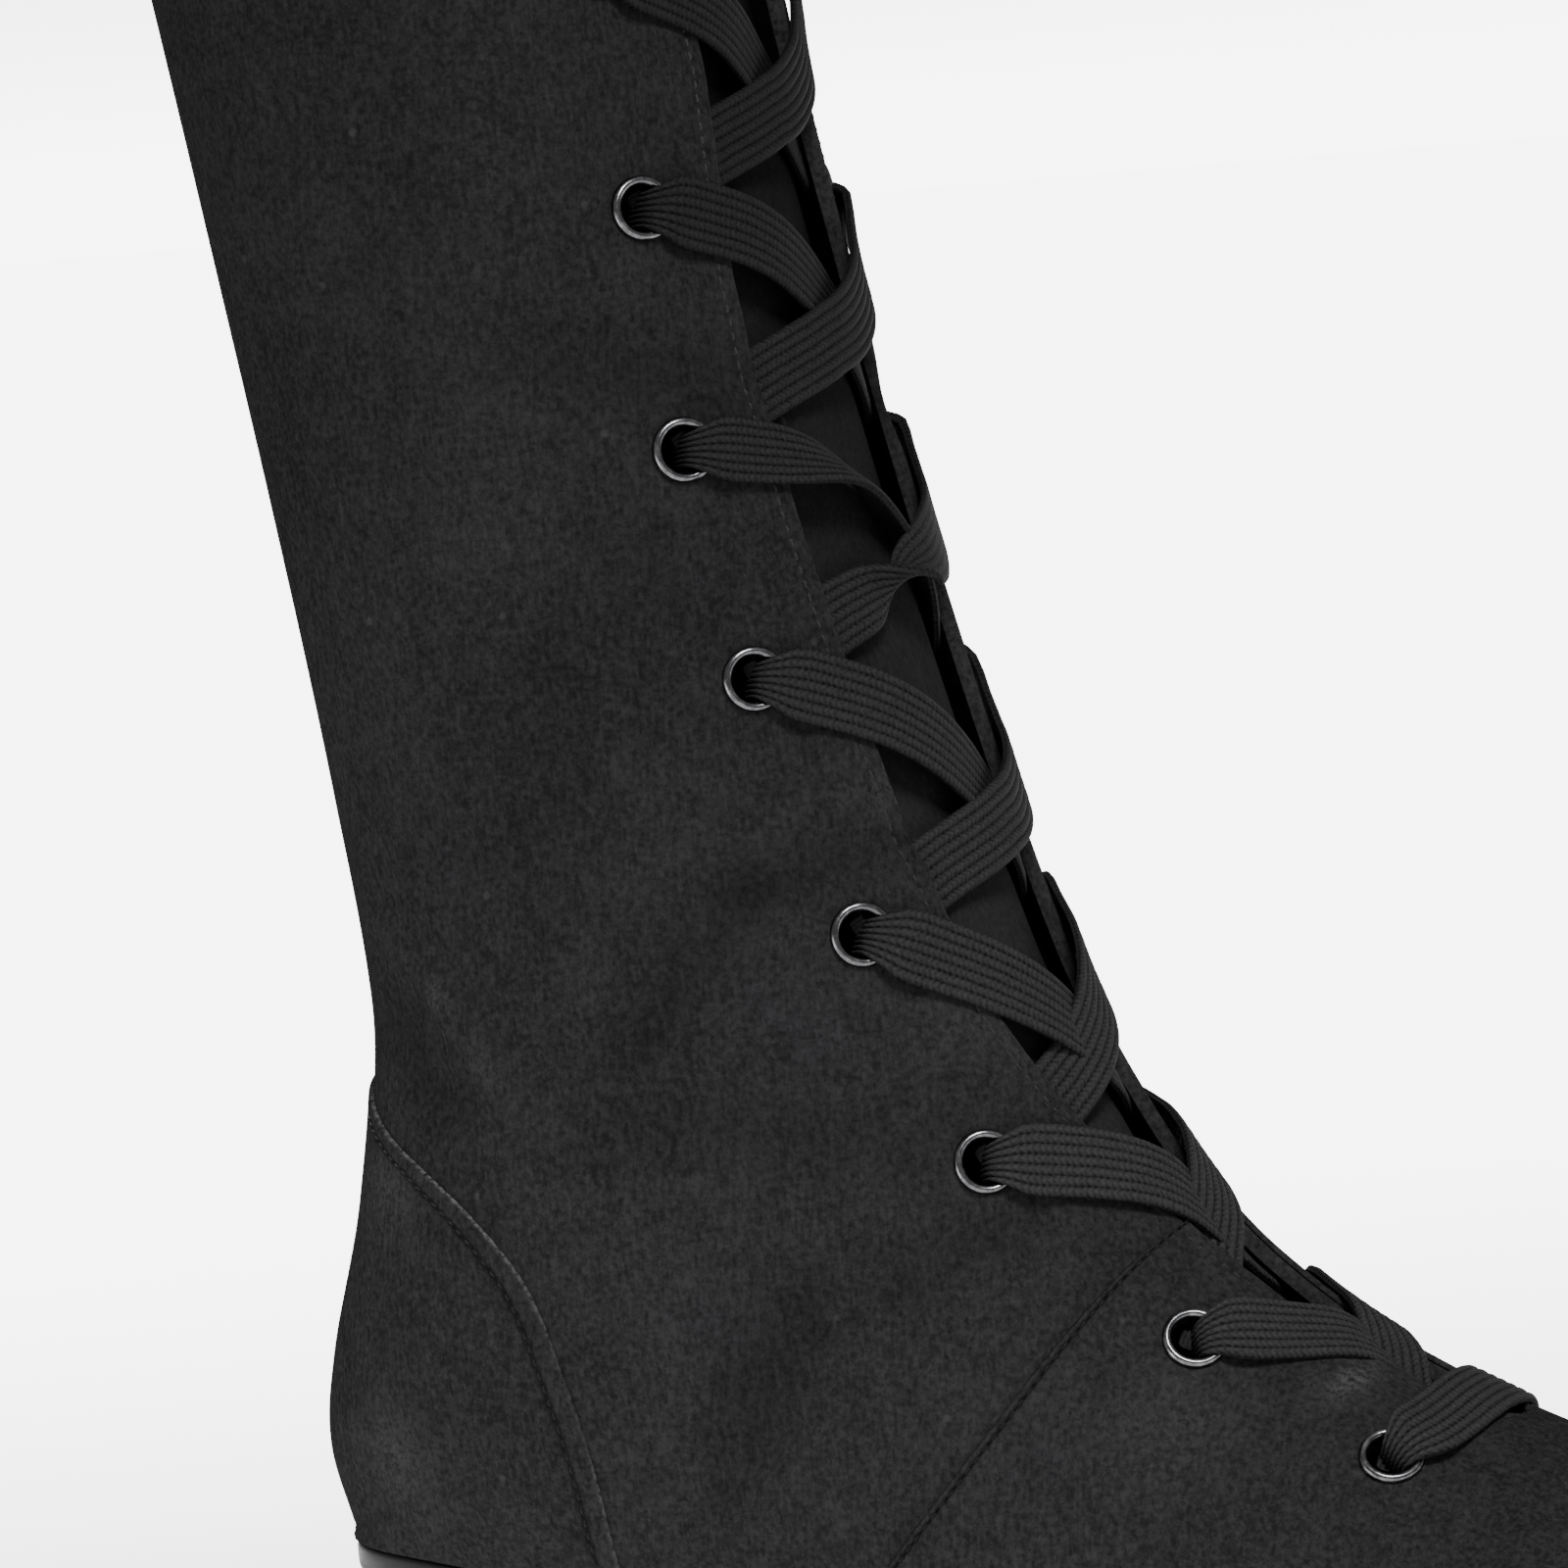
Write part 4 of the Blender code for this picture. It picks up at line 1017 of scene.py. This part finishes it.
def spread(outer, inner, margins):
    """Stations moved outward in plan, square to the outline, by a margin each."""
    outline = np.concatenate([outer, inner[-2:0:-1]])
    forward = np.roll(outline, -1, axis=0) - np.roll(outline, 1, axis=0)
    sideways = np.stack([forward[:, 1], -forward[:, 0], np.zeros(len(outline))], -1)
    sideways /= np.linalg.norm(sideways, axis=1, keepdims=True)
    moved = outline + sideways * np.concatenate([margins, margins[-2:0:-1]])[:, None]
    return moved[: len(outer)], np.vstack([moved[:1], moved[: len(outer) - 2 : -1]])


def ladder(name, levels, finish):
    """A solid between levels of (outer, inner) stations, top one first."""
    rings = [np.concatenate([outer, inner[::-1]]) for outer, inner in levels]
    around = len(rings[0])
    foot = around * (len(rings) - 1)
    faces = grid_quads(len(rings), around, closed=True).tolist()
    for k in range(around // 2 - 1):
        rung = [k, k + 1, around - 2 - k, around - 1 - k]
        faces += [rung, [foot + v for v in rung[::-1]]]
    made = new_object(name, np.concatenate(rings), faces, finish)
    weld = made.modifiers.new("weld", "WELD")
    weld.merge_threshold = SOLE_WELD
    keep_result(made, weld)
    return made


def layer(outer, inner, margin, foot, height, levels):
    """Levels of a layer that follows the feather line, with its edge's rounding."""
    made = []
    for share, inset in levels:
        sides = spread(outer, inner, margin - inset * MM)
        made.append([np.column_stack([points[:, :2], foot + height * share]) for points in sides])
    return made


def build_outsole(rubber):
    outer, inner = sole_outline()
    share = np.clip((outer[:, 0] - outer[0, 0]) / SOLE_FLARE_RUN, 0.0, 1.0)
    margin = SOLE_HEEL_MARGIN + (SOLE_TOE_MARGIN - SOLE_HEEL_MARGIN) * share
    top = outer[:, 2] - SOLE_GAP
    foot = np.maximum(top - SOLE_THICKNESS, 0.0)
    levels = layer(outer, inner, margin, foot, top - foot, SOLE_LEVELS)
    return dress(ladder("outsole_rubber", levels, rubber), "sole", "outsole")


def build_insole(finish):
    outer, inner = sole_outline()
    margin = np.full(len(outer), -INSOLE_INSET)
    levels = layer(outer, inner, margin, outer[:, 2] + INSOLE_GAP, INSOLE_THICKNESS, INSOLE_LEVELS)
    return dress(ladder("insole_board", levels, finish), "lining", "insole")


def build_heel(rubber):
    outer, inner = sole_outline()
    outer, inner = spread(outer, inner, np.full(len(outer), SOLE_HEEL_MARGIN))
    kept = outer[:, 0] < last_point(HEEL_BREAST, 1.0, 1)[0]
    outer, inner = outer[kept], inner[kept]
    top = outer[:, 2] - SOLE_GAP - SOLE_THICKNESS - INSOLE_GAP
    back, breast = outer[0, 0], outer[-1, 0]
    levels = []
    for share, inset in HEEL_LEVELS:
        slim = 1.0 - (1.0 - HEEL_TAPER) * math.sin(QUARTER_TURN * share) - inset * MM / HEEL_HALF_WIDTH
        new_back = back + HEEL_BACK_RAKE * share + inset * MM
        new_breast = breast - HEEL_BREAST_RAKE * share - inset * MM
        level = []
        for points in (outer, inner):
            x = new_back + (points[:, 0] - back) / (breast - back) * (new_breast - new_back)
            level.append(np.column_stack([x, points[:, 1] * slim, top * (1.0 - share)]))
        levels.append(level)
    return dress(ladder("heel_block", levels, rubber), "sole", "heel")


# Materials

class Nodes:
    """Makes nodes in one tree. Inputs are values or other nodes' sockets."""

    def __init__(self, tree):
        self.tree = tree

    def put(self, socket, value):
        if isinstance(value, bpy.types.NodeSocket):
            self.tree.links.new(value, socket)
        else:
            socket.default_value = value

    def add(self, kind, settings=None, **inputs):
        """A node with settings. An input's name has underscores for spaces, or is i and its number."""
        made = self.tree.nodes.new(f"ShaderNode{kind}")
        for key, value in (settings or {}).items():
            setattr(made, key, value)
        for key, value in inputs.items():
            self.put(made.inputs[int(key[1:]) if key[1:].isdigit() else key.replace("_", " ")], value)
        return made

    def place(self):
        return self.add("TexCoord").outputs["Object"]

    def parts(self, vector):
        return self.add("SeparateXYZ", Vector=vector).outputs

    def math(self, operation, a, b=0.0, clamp=False):
        return self.add("Math", {"operation": operation, "use_clamp": clamp}, i0=a, i1=b).outputs[0]

    def times(self, a, b):
        return self.math("MULTIPLY", a, b)

    def plus(self, a, b):
        return self.math("ADD", a, b)

    def zigzag(self, value):
        """Up from 0 to 1 and down again over each whole step of a value."""
        return self.times(self.math("PINGPONG", value, 0.5), 2.0)

    def vector(self, operation, a, output="Vector", **inputs):
        return self.add("VectorMath", {"operation": operation}, i0=a, **inputs).outputs[output]

    def ramp(self, value, start, end, low=0.0, high=1.0, kind="LINEAR"):
        """low to high as a value goes from start to end."""
        ends = {"From_Min": start, "From_Max": end, "To_Min": low, "To_Max": high}
        return self.add("MapRange", {"interpolation_type": kind}, Value=value, **ends).outputs[0]

    def noise(self, place, grain):
        return self.add("TexNoise", Vector=place, **grain._asdict()).outputs["Fac"]

    def stretched(self, place, turn, scale):
        """Coordinates turned and stretched, for marks that run one way."""
        return self.add("Mapping", Vector=place, Rotation=turn, Scale=scale).outputs[0]

    def mix(self, factor, first, second):
        """A colour between two, which are (red, green, blue) or sockets."""
        ends = [(*colour, 1.0) if isinstance(colour, tuple) else colour for colour in (first, second)]
        return self.add("Mix", {"data_type": "RGBA"}, i0=factor, i6=ends[0], i7=ends[1]).outputs[2]

    def bump(self, height, strength, distance):
        return self.add("Bump", Height=height, Strength=strength, Distance=distance).outputs[0]


def new_material(name, **values):
    """(material, nodes, shader) with the shader's own values set. Underscores stand for spaces."""
    made = bpy.data.materials.new(name)
    made.use_nodes = True
    shader = made.node_tree.nodes["Principled BSDF"]
    for key, value in values.items():
        shader.inputs[key.replace("_", " ")].default_value = value
    return made, Nodes(made.node_tree), shader


def grey(value, blue=None):
    return value, value, value if blue is None else blue


# Grains of noise, with Scale in steps to a metre, or 1 where the coordinates are stretched first.
Grain = namedtuple("Grain", "Scale Detail Roughness")
BLOTCH = Grain(30.0, 3.0, 0.5)
PATCH = Grain(210.0, 4.0, 0.6)
NAP = Grain(1250.0, 4.0, 0.7)
BRUSH = Grain(1.0, 2.0, 0.55)
TINT = Grain(34.0, 2.0, 0.5)
FIBRE = Grain(1500.0, 3.0, 0.7)
FUZZ = Grain(2200.0, 2.0, 0.55)
CLOUD = Grain(60.0, 3.0, 0.55)
SCRATCH = Grain(900.0, 4.0, 0.65)
MOULD = Grain(1400.0, 3.0, 0.55)
SCUFF = Grain(1.0, 4.0, 0.6)
STRAND = Grain(3000.0, 2.0, 0.55)
FLOOR_CLOUD = Grain(3.0, 2.0, 0.55)

BRUSH_TURN = 0.8
BRUSH_STRETCH = (1900.0, 1900.0, 380.0)
BLOTCH_WEIGHT = 0.1
PATCH_WEIGHT = 0.12
NAP_WEIGHT = 0.5
BRUSH_WEIGHT = 0.28
NAP_RANGE = (0.415, 0.595)
FIBRE_RANGE = (0.38, 0.62)
TINT_WARM = (1.0, 1.0, 0.95)
TINT_COOL = (0.99, 0.98, 1.07)
# The pale colour of rubbed wear, lint and painted highlights, and the near black of painted shade.
PALE_MARK_AND_HIGHLIGHT = grey(0.1, 0.102)
PAINTED_SHADE_COLOUR = grey(0.003)
LINT_SCALE = 150.0
LINT_STRENGTH = 0.12
LINT_SIZE = (0.05, 0.1)
LINT_RARITY = 0.8
# Heights, in metres, over which the suede's painted shade goes from its foot tone to its shaft tone.
SUEDE_HEIGHTS = (0.05, 0.23)
NAP_HEIGHT = 0.6
BRUSH_HEIGHT = 0.4


def suede_material(name, dark, light, low_tone, high_tone, grain):
    """Brushed black suede: soft blotches, a fine nap, short brush marks on the slant, rubbed places, and the
    painted shade and painted highlights that the wear attribute carries.

    Its tone goes from low_tone on the foot to high_tone on the shaft: painted light and shade by height.
    """
    made, nodes, shader = new_material(name, Roughness=0.95, Specular_IOR_Level=0.0)
    place = nodes.place()
    nap = nodes.noise(place, NAP)
    slants = [nodes.stretched(place, (0.0, turn, 0.0), BRUSH_STRETCH) for turn in (BRUSH_TURN, -BRUSH_TURN)]
    brushed = nodes.times(nodes.plus(*(nodes.noise(slant, BRUSH) for slant in slants)), 0.5)
    blotch = nodes.times(nodes.noise(place, BLOTCH), BLOTCH_WEIGHT)
    soft = nodes.plus(blotch, nodes.times(nodes.noise(place, PATCH), PATCH_WEIGHT))
    fine = nodes.plus(nodes.times(nap, NAP_WEIGHT), nodes.times(brushed, BRUSH_WEIGHT))
    ground = nodes.mix(nodes.ramp(nodes.plus(soft, fine), *NAP_RANGE), dark, light)
    tinted = nodes.vector("MULTIPLY", ground, i1=nodes.mix(nodes.noise(place, TINT), TINT_WARM, TINT_COOL))
    # Painted light and shade: the colour is scaled by height.
    tone = nodes.ramp(nodes.parts(place)[2], *SUEDE_HEIGHTS, low_tone, high_tone)
    toned = nodes.vector("SCALE", tinted, Scale=tone)
    # wear holds rubbed wear and painted highlights above 0, and painted shade below 0.
    wear = nodes.add("Attribute", {"attribute_name": "wear"}).outputs["Fac"]
    rub_and_highlight = nodes.math("MULTIPLY", wear, nodes.ramp(nodes.noise(place, FIBRE), *FIBRE_RANGE), clamp=True)
    cells = nodes.add("TexVoronoi", Vector=place, Scale=LINT_SCALE).outputs
    speck = nodes.ramp(cells["Distance"], *LINT_SIZE, LINT_STRENGTH, 0.0)
    chosen = nodes.math("GREATER_THAN", nodes.parts(cells["Color"])[0], LINT_RARITY)
    pale = nodes.math("ADD", rub_and_highlight, nodes.times(speck, chosen), clamp=True)
    # Below 0, wear is painted shade, which darkens the colour towards near black.
    painted_shade = nodes.math("MULTIPLY", wear, -1.0, clamp=True)
    nodes.put(shader.inputs["Base Color"], nodes.mix(painted_shade, nodes.mix(pale, toned, PALE_MARK_AND_HIGHLIGHT), PAINTED_SHADE_COLOUR))
    height = nodes.plus(nodes.times(nap, NAP_HEIGHT), nodes.times(brushed, BRUSH_HEIGHT))
    nodes.put(shader.inputs["Normal"], nodes.bump(height, 0.5 * grain, 0.4 * MM))
    return made


LACE_DARK = grey(0.003)
LACE_LIGHT = grey(0.0254)
LACE_BRAIDS = 11.0
LACE_SLANT = 0.7
# How dark the painted shade in the grooves between the cords is, and how narrow.
LACE_GROOVE_SHADE = 0.44
LACE_GROOVE_SHADE_POWER = 2.5
LACE_THREAD = 0.3
LACE_FUZZ = 0.9
# Painted light and shade: the lace's colour is scaled from the first tone at the first height to the second
# at the second, paler low on the foot.
LACE_HEIGHTS = (0.09, 0.215)
LACE_TONES = (1.5, 0.66)
CREST_HEIGHT = 0.6
THREAD_HEIGHT = 0.4


def lace_material():
    """Woven cotton: cords along it, each braided in small chevrons, with painted shade in the grooves between
    the cords, and painted light that makes it paler low on the foot.
    """
    made, nodes, shader = new_material("lace_cotton", Roughness=0.85, Specular_IOR_Level=0.03)
    along, across, _ = nodes.parts(nodes.add("UVMap", {"uv_map": "lace"}).outputs[0])
    place = nodes.place()
    crest = nodes.zigzag(nodes.times(across, float(LACE_RIBS)))
    thread = nodes.zigzag(nodes.plus(nodes.times(along, LACE_BRAIDS), nodes.times(crest, LACE_SLANT)))
    # Painted shade in the grooves between the cords.
    groove_shade = nodes.math("POWER", nodes.math("SUBTRACT", 1.0, crest), LACE_GROOVE_SHADE_POWER)
    fleck = nodes.plus(nodes.times(thread, LACE_THREAD), nodes.times(nodes.noise(place, FUZZ), LACE_FUZZ))
    shade = nodes.math("SUBTRACT", fleck, nodes.times(groove_shade, LACE_GROOVE_SHADE), clamp=True)
    # Painted light and shade by height.
    tone = nodes.ramp(nodes.parts(place)[2], *LACE_HEIGHTS, *LACE_TONES)
    colour = nodes.vector("SCALE", nodes.mix(shade, LACE_DARK, LACE_LIGHT), Scale=tone)
    nodes.put(shader.inputs["Base Color"], colour)
    height = nodes.plus(nodes.times(crest, CREST_HEIGHT), nodes.times(thread, THREAD_HEIGHT))
    nodes.put(shader.inputs["Normal"], nodes.bump(height, 0.5, 0.12 * MM))
    return made


LINING_THREADS = 700.0
LINING_WOBBLE = 0.4


def lining_material():
    """A plain woven cloth."""
    values = {"Roughness": 0.9, "Specular_IOR_Level": 0.08, "Sheen_Weight": 0.02}
    made, nodes, shader = new_material("lining_cloth", **values)
    place = nodes.place()
    waves = []
    for direction in ("Z", "X"):
        settings = {"bands_direction": direction}
        wave = nodes.add("TexWave", settings, Vector=place, Scale=LINING_THREADS, Distortion=LINING_WOBBLE)
        waves.append(wave.outputs["Fac"])
    weave = nodes.times(nodes.plus(*waves), 0.5)
    shade = nodes.plus(nodes.times(weave, 0.5), nodes.times(nodes.noise(place, CLOUD), 0.5))
    nodes.put(shader.inputs["Base Color"], nodes.mix(shade, grey(0.012), grey(0.028)))
    nodes.put(shader.inputs["Normal"], nodes.bump(weave, 0.3, 0.15 * MM))
    return made


def metal_material():
    """Blackened metal, polished, worn brighter in fine scratches."""
    made, nodes, shader = new_material("eyelet_black_nickel", Metallic=1.0)
    wear = nodes.noise(nodes.place(), SCRATCH)
    colour = nodes.mix(nodes.ramp(wear, 0.45, 0.75), grey(0.1, 0.104), grey(0.26, 0.265))
    nodes.put(shader.inputs["Base Color"], colour)
    nodes.put(shader.inputs["Roughness"], nodes.ramp(wear, 0.0, 1.0, 0.14, 0.3))
    return made


def rubber_material():
    """Satin black rubber with faint moulding grain and scuffs."""
    made, nodes, shader = new_material("sole_rubber", Specular_IOR_Level=0.16)
    place = nodes.place()
    scuff = nodes.noise(nodes.stretched(place, (0.0, 0.0, 0.0), (60.0, 60.0, 500.0)), SCUFF)
    nodes.put(shader.inputs["Base Color"], nodes.mix(scuff, grey(0.003), grey(0.009, 0.0092)))
    nodes.put(shader.inputs["Roughness"], nodes.ramp(scuff, 0.3, 0.7, 0.4, 0.62))
    nodes.put(shader.inputs["Normal"], nodes.bump(nodes.noise(place, MOULD), 0.2, 0.1 * MM))
    return made


def thread_material(name, dark, light):
    """Twisted sewing thread."""
    made, nodes, shader = new_material(name, Roughness=0.6, Specular_IOR_Level=0.15)
    nodes.put(shader.inputs["Base Color"], nodes.mix(nodes.noise(nodes.place(), STRAND), dark, light))
    return made


# Stage, light and camera

AZIMUTH, ELEVATION, ROLL = (math.radians(angle) for angle in (25.0, 4.0, 5.0))
CAMERA_DISTANCE = 1.2
FRAME_WIDTH = 195.1 * MM
TARGET = Vector((65.4 - ORIGIN_X, -ORIGIN_Y, 137.9)) * MM
SENSOR = 36.0
RIGHT = Vector((math.cos(AZIMUTH), math.sin(AZIMUTH), 0.0))
UP = Vector((
    -math.sin(AZIMUTH) * math.sin(ELEVATION), math.cos(AZIMUTH) * math.sin(ELEVATION), math.cos(ELEVATION),
))
BACK = RIGHT.cross(UP)
CAMERA_PLACE = TARGET + BACK * CAMERA_DISTANCE

# The backdrop glows behind the boot. POOL_FULL and POOL_FADE are the cosines of the angles from the
# middle of the view where the glow starts to fade and where it ends.
BEHIND = Vector((-BACK.x, -BACK.y, 0.0)).normalized()
POOL_FULL, POOL_FADE = (math.cos(math.radians(angle)) for angle in (9.0, 65.0))
WORLD_STRENGTH = 0.38
HORIZON_GLOW = 6.8
HORIZON_RISE = 0.18
HORIZON_POWER = 3.0
FLOOR_HALF = 20.0
FLOOR_GLOW = (0.55, 6.4)
FLOOR_FADE = (0.9, 2.1)
WHITE = (1.0, 1.0, 1.0, 1.0)

# Square soft lights at (right, up, back) metres from the target.
Light = namedtuple("Light", "name offset size power")
LIGHTS = (
    Light("key", (0.15, 0.72, 0.72), 0.3, 7.9),
    Light("fill", (-0.27, -0.085, 0.18), 0.16, 0.21),
)
LIGHT_SPREAD = math.radians(140.0)


def build_camera():
    data = bpy.data.cameras.new("camera")
    data.sensor_fit = "HORIZONTAL"
    data.sensor_width = SENSOR
    data.lens = SENSOR * CAMERA_DISTANCE / FRAME_WIDTH
    camera = bpy.data.objects.new("camera", data)
    across = RIGHT * math.cos(ROLL) - UP * math.sin(ROLL)
    upward = RIGHT * math.sin(ROLL) + UP * math.cos(ROLL)
    turn = Matrix((across, upward, BACK)).transposed().to_4x4()
    turn.translation = CAMERA_PLACE
    camera.matrix_world = turn
    bpy.context.scene.collection.objects.link(camera)
    bpy.context.scene.camera = camera


def build_lights():
    for row in LIGHTS:
        data = bpy.data.lights.new(row.name, "AREA")
        data.size = row.size
        data.energy = row.power
        data.spread = LIGHT_SPREAD
        light = bpy.data.objects.new(row.name, data)
        away = RIGHT * row.offset[0] + UP * row.offset[1] + BACK * row.offset[2]
        turn = away.to_track_quat("Z", "Y").to_matrix().to_4x4()
        light.matrix_world = Matrix.Translation(TARGET + away) @ turn
        bpy.context.scene.collection.objects.link(light)


def behind_boot(nodes, direction):
    """1 in the directions that lie behind the boot in the photograph's view, fading to 0 at the sides."""
    unit = nodes.vector("NORMALIZE", direction)
    facing = nodes.vector("DOT_PRODUCT", unit, "Value", i1=tuple(BEHIND))
    return nodes.ramp(facing, POOL_FADE, POOL_FULL, kind="SMOOTHSTEP")


def floor_material():
    values = {"Roughness": 0.8, "Specular_IOR_Level": 0.1, "Emission_Color": WHITE}
    made, nodes, shader = new_material("floor_white", **values)
    place = nodes.place()
    nodes.put(shader.inputs["Base Color"], nodes.mix(nodes.noise(place, FLOOR_CLOUD), grey(0.93), grey(0.95)))
    ahead = nodes.vector("SUBTRACT", place, i1=(CAMERA_PLACE.x, CAMERA_PLACE.y, 0.0))
    far = nodes.ramp(nodes.vector("LENGTH", ahead, "Value"), *FLOOR_FADE, kind="SMOOTHSTEP")
    pool = nodes.times(far, behind_boot(nodes, ahead))
    nodes.put(shader.inputs["Emission Strength"], nodes.ramp(pool, 0.0, 1.0, *FLOOR_GLOW))
    return made


def build_stage():
    corners = [(x * FLOOR_HALF, y * FLOOR_HALF, 0.0) for x, y in ((-1, -1), (1, -1), (1, 1), (-1, 1))]
    floor = new_object("floor", corners, [[0, 1, 2, 3]], floor_material())
    world = bpy.data.worlds.new("studio")
    world.use_nodes = True
    sky = world.node_tree.nodes["Background"]
    sky.inputs["Color"].default_value = WHITE
    nodes = Nodes(world.node_tree)
    facing = nodes.add("TexCoord").outputs["Generated"]
    low = nodes.ramp(nodes.parts(facing)[2], 0.0, HORIZON_RISE, 1.0, 0.0)
    band = nodes.times(nodes.math("POWER", low, HORIZON_POWER), HORIZON_GLOW)
    horizon = nodes.times(band, behind_boot(nodes, facing))
    nodes.put(sky.inputs["Strength"], nodes.plus(horizon, WORLD_STRENGTH))
    bpy.context.scene.world = world


def main():
    # Each suede's colour is scaled by height with painted shade: lighter on the foot, darker up the shaft,
    # strongly so on the tongue.
    suede = suede_material("black_suede", grey(0.0081), grey(0.0209, 0.021), 1.24, 0.84, 1.0)
    tongue_suede = suede_material("tongue_suede", grey(0.0112), grey(0.0172), 1.55, 0.4, 0.4)
    seam_thread = thread_material("seam_thread", grey(0.002), grey(0.009))
    facing_thread = thread_material("facing_thread", grey(0.009), grey(0.028))
    lining = lining_material()
    rubber = rubber_material()
    holes = eyelet_holes()
    build_upper(suede, lining, holes)
    build_counter(suede)
    build_vamp(suede, holes)
    bpy.data.objects.remove(holes)
    build_tongue(tongue_suede)
    build_eyelets(metal_material())
    build_lace(lace_material())
    build_stitches(seam_thread, facing_thread)
    build_outsole(rubber)
    build_heel(rubber)
    build_insole(lining)
    build_stage()
    build_lights()
    build_camera()


main()
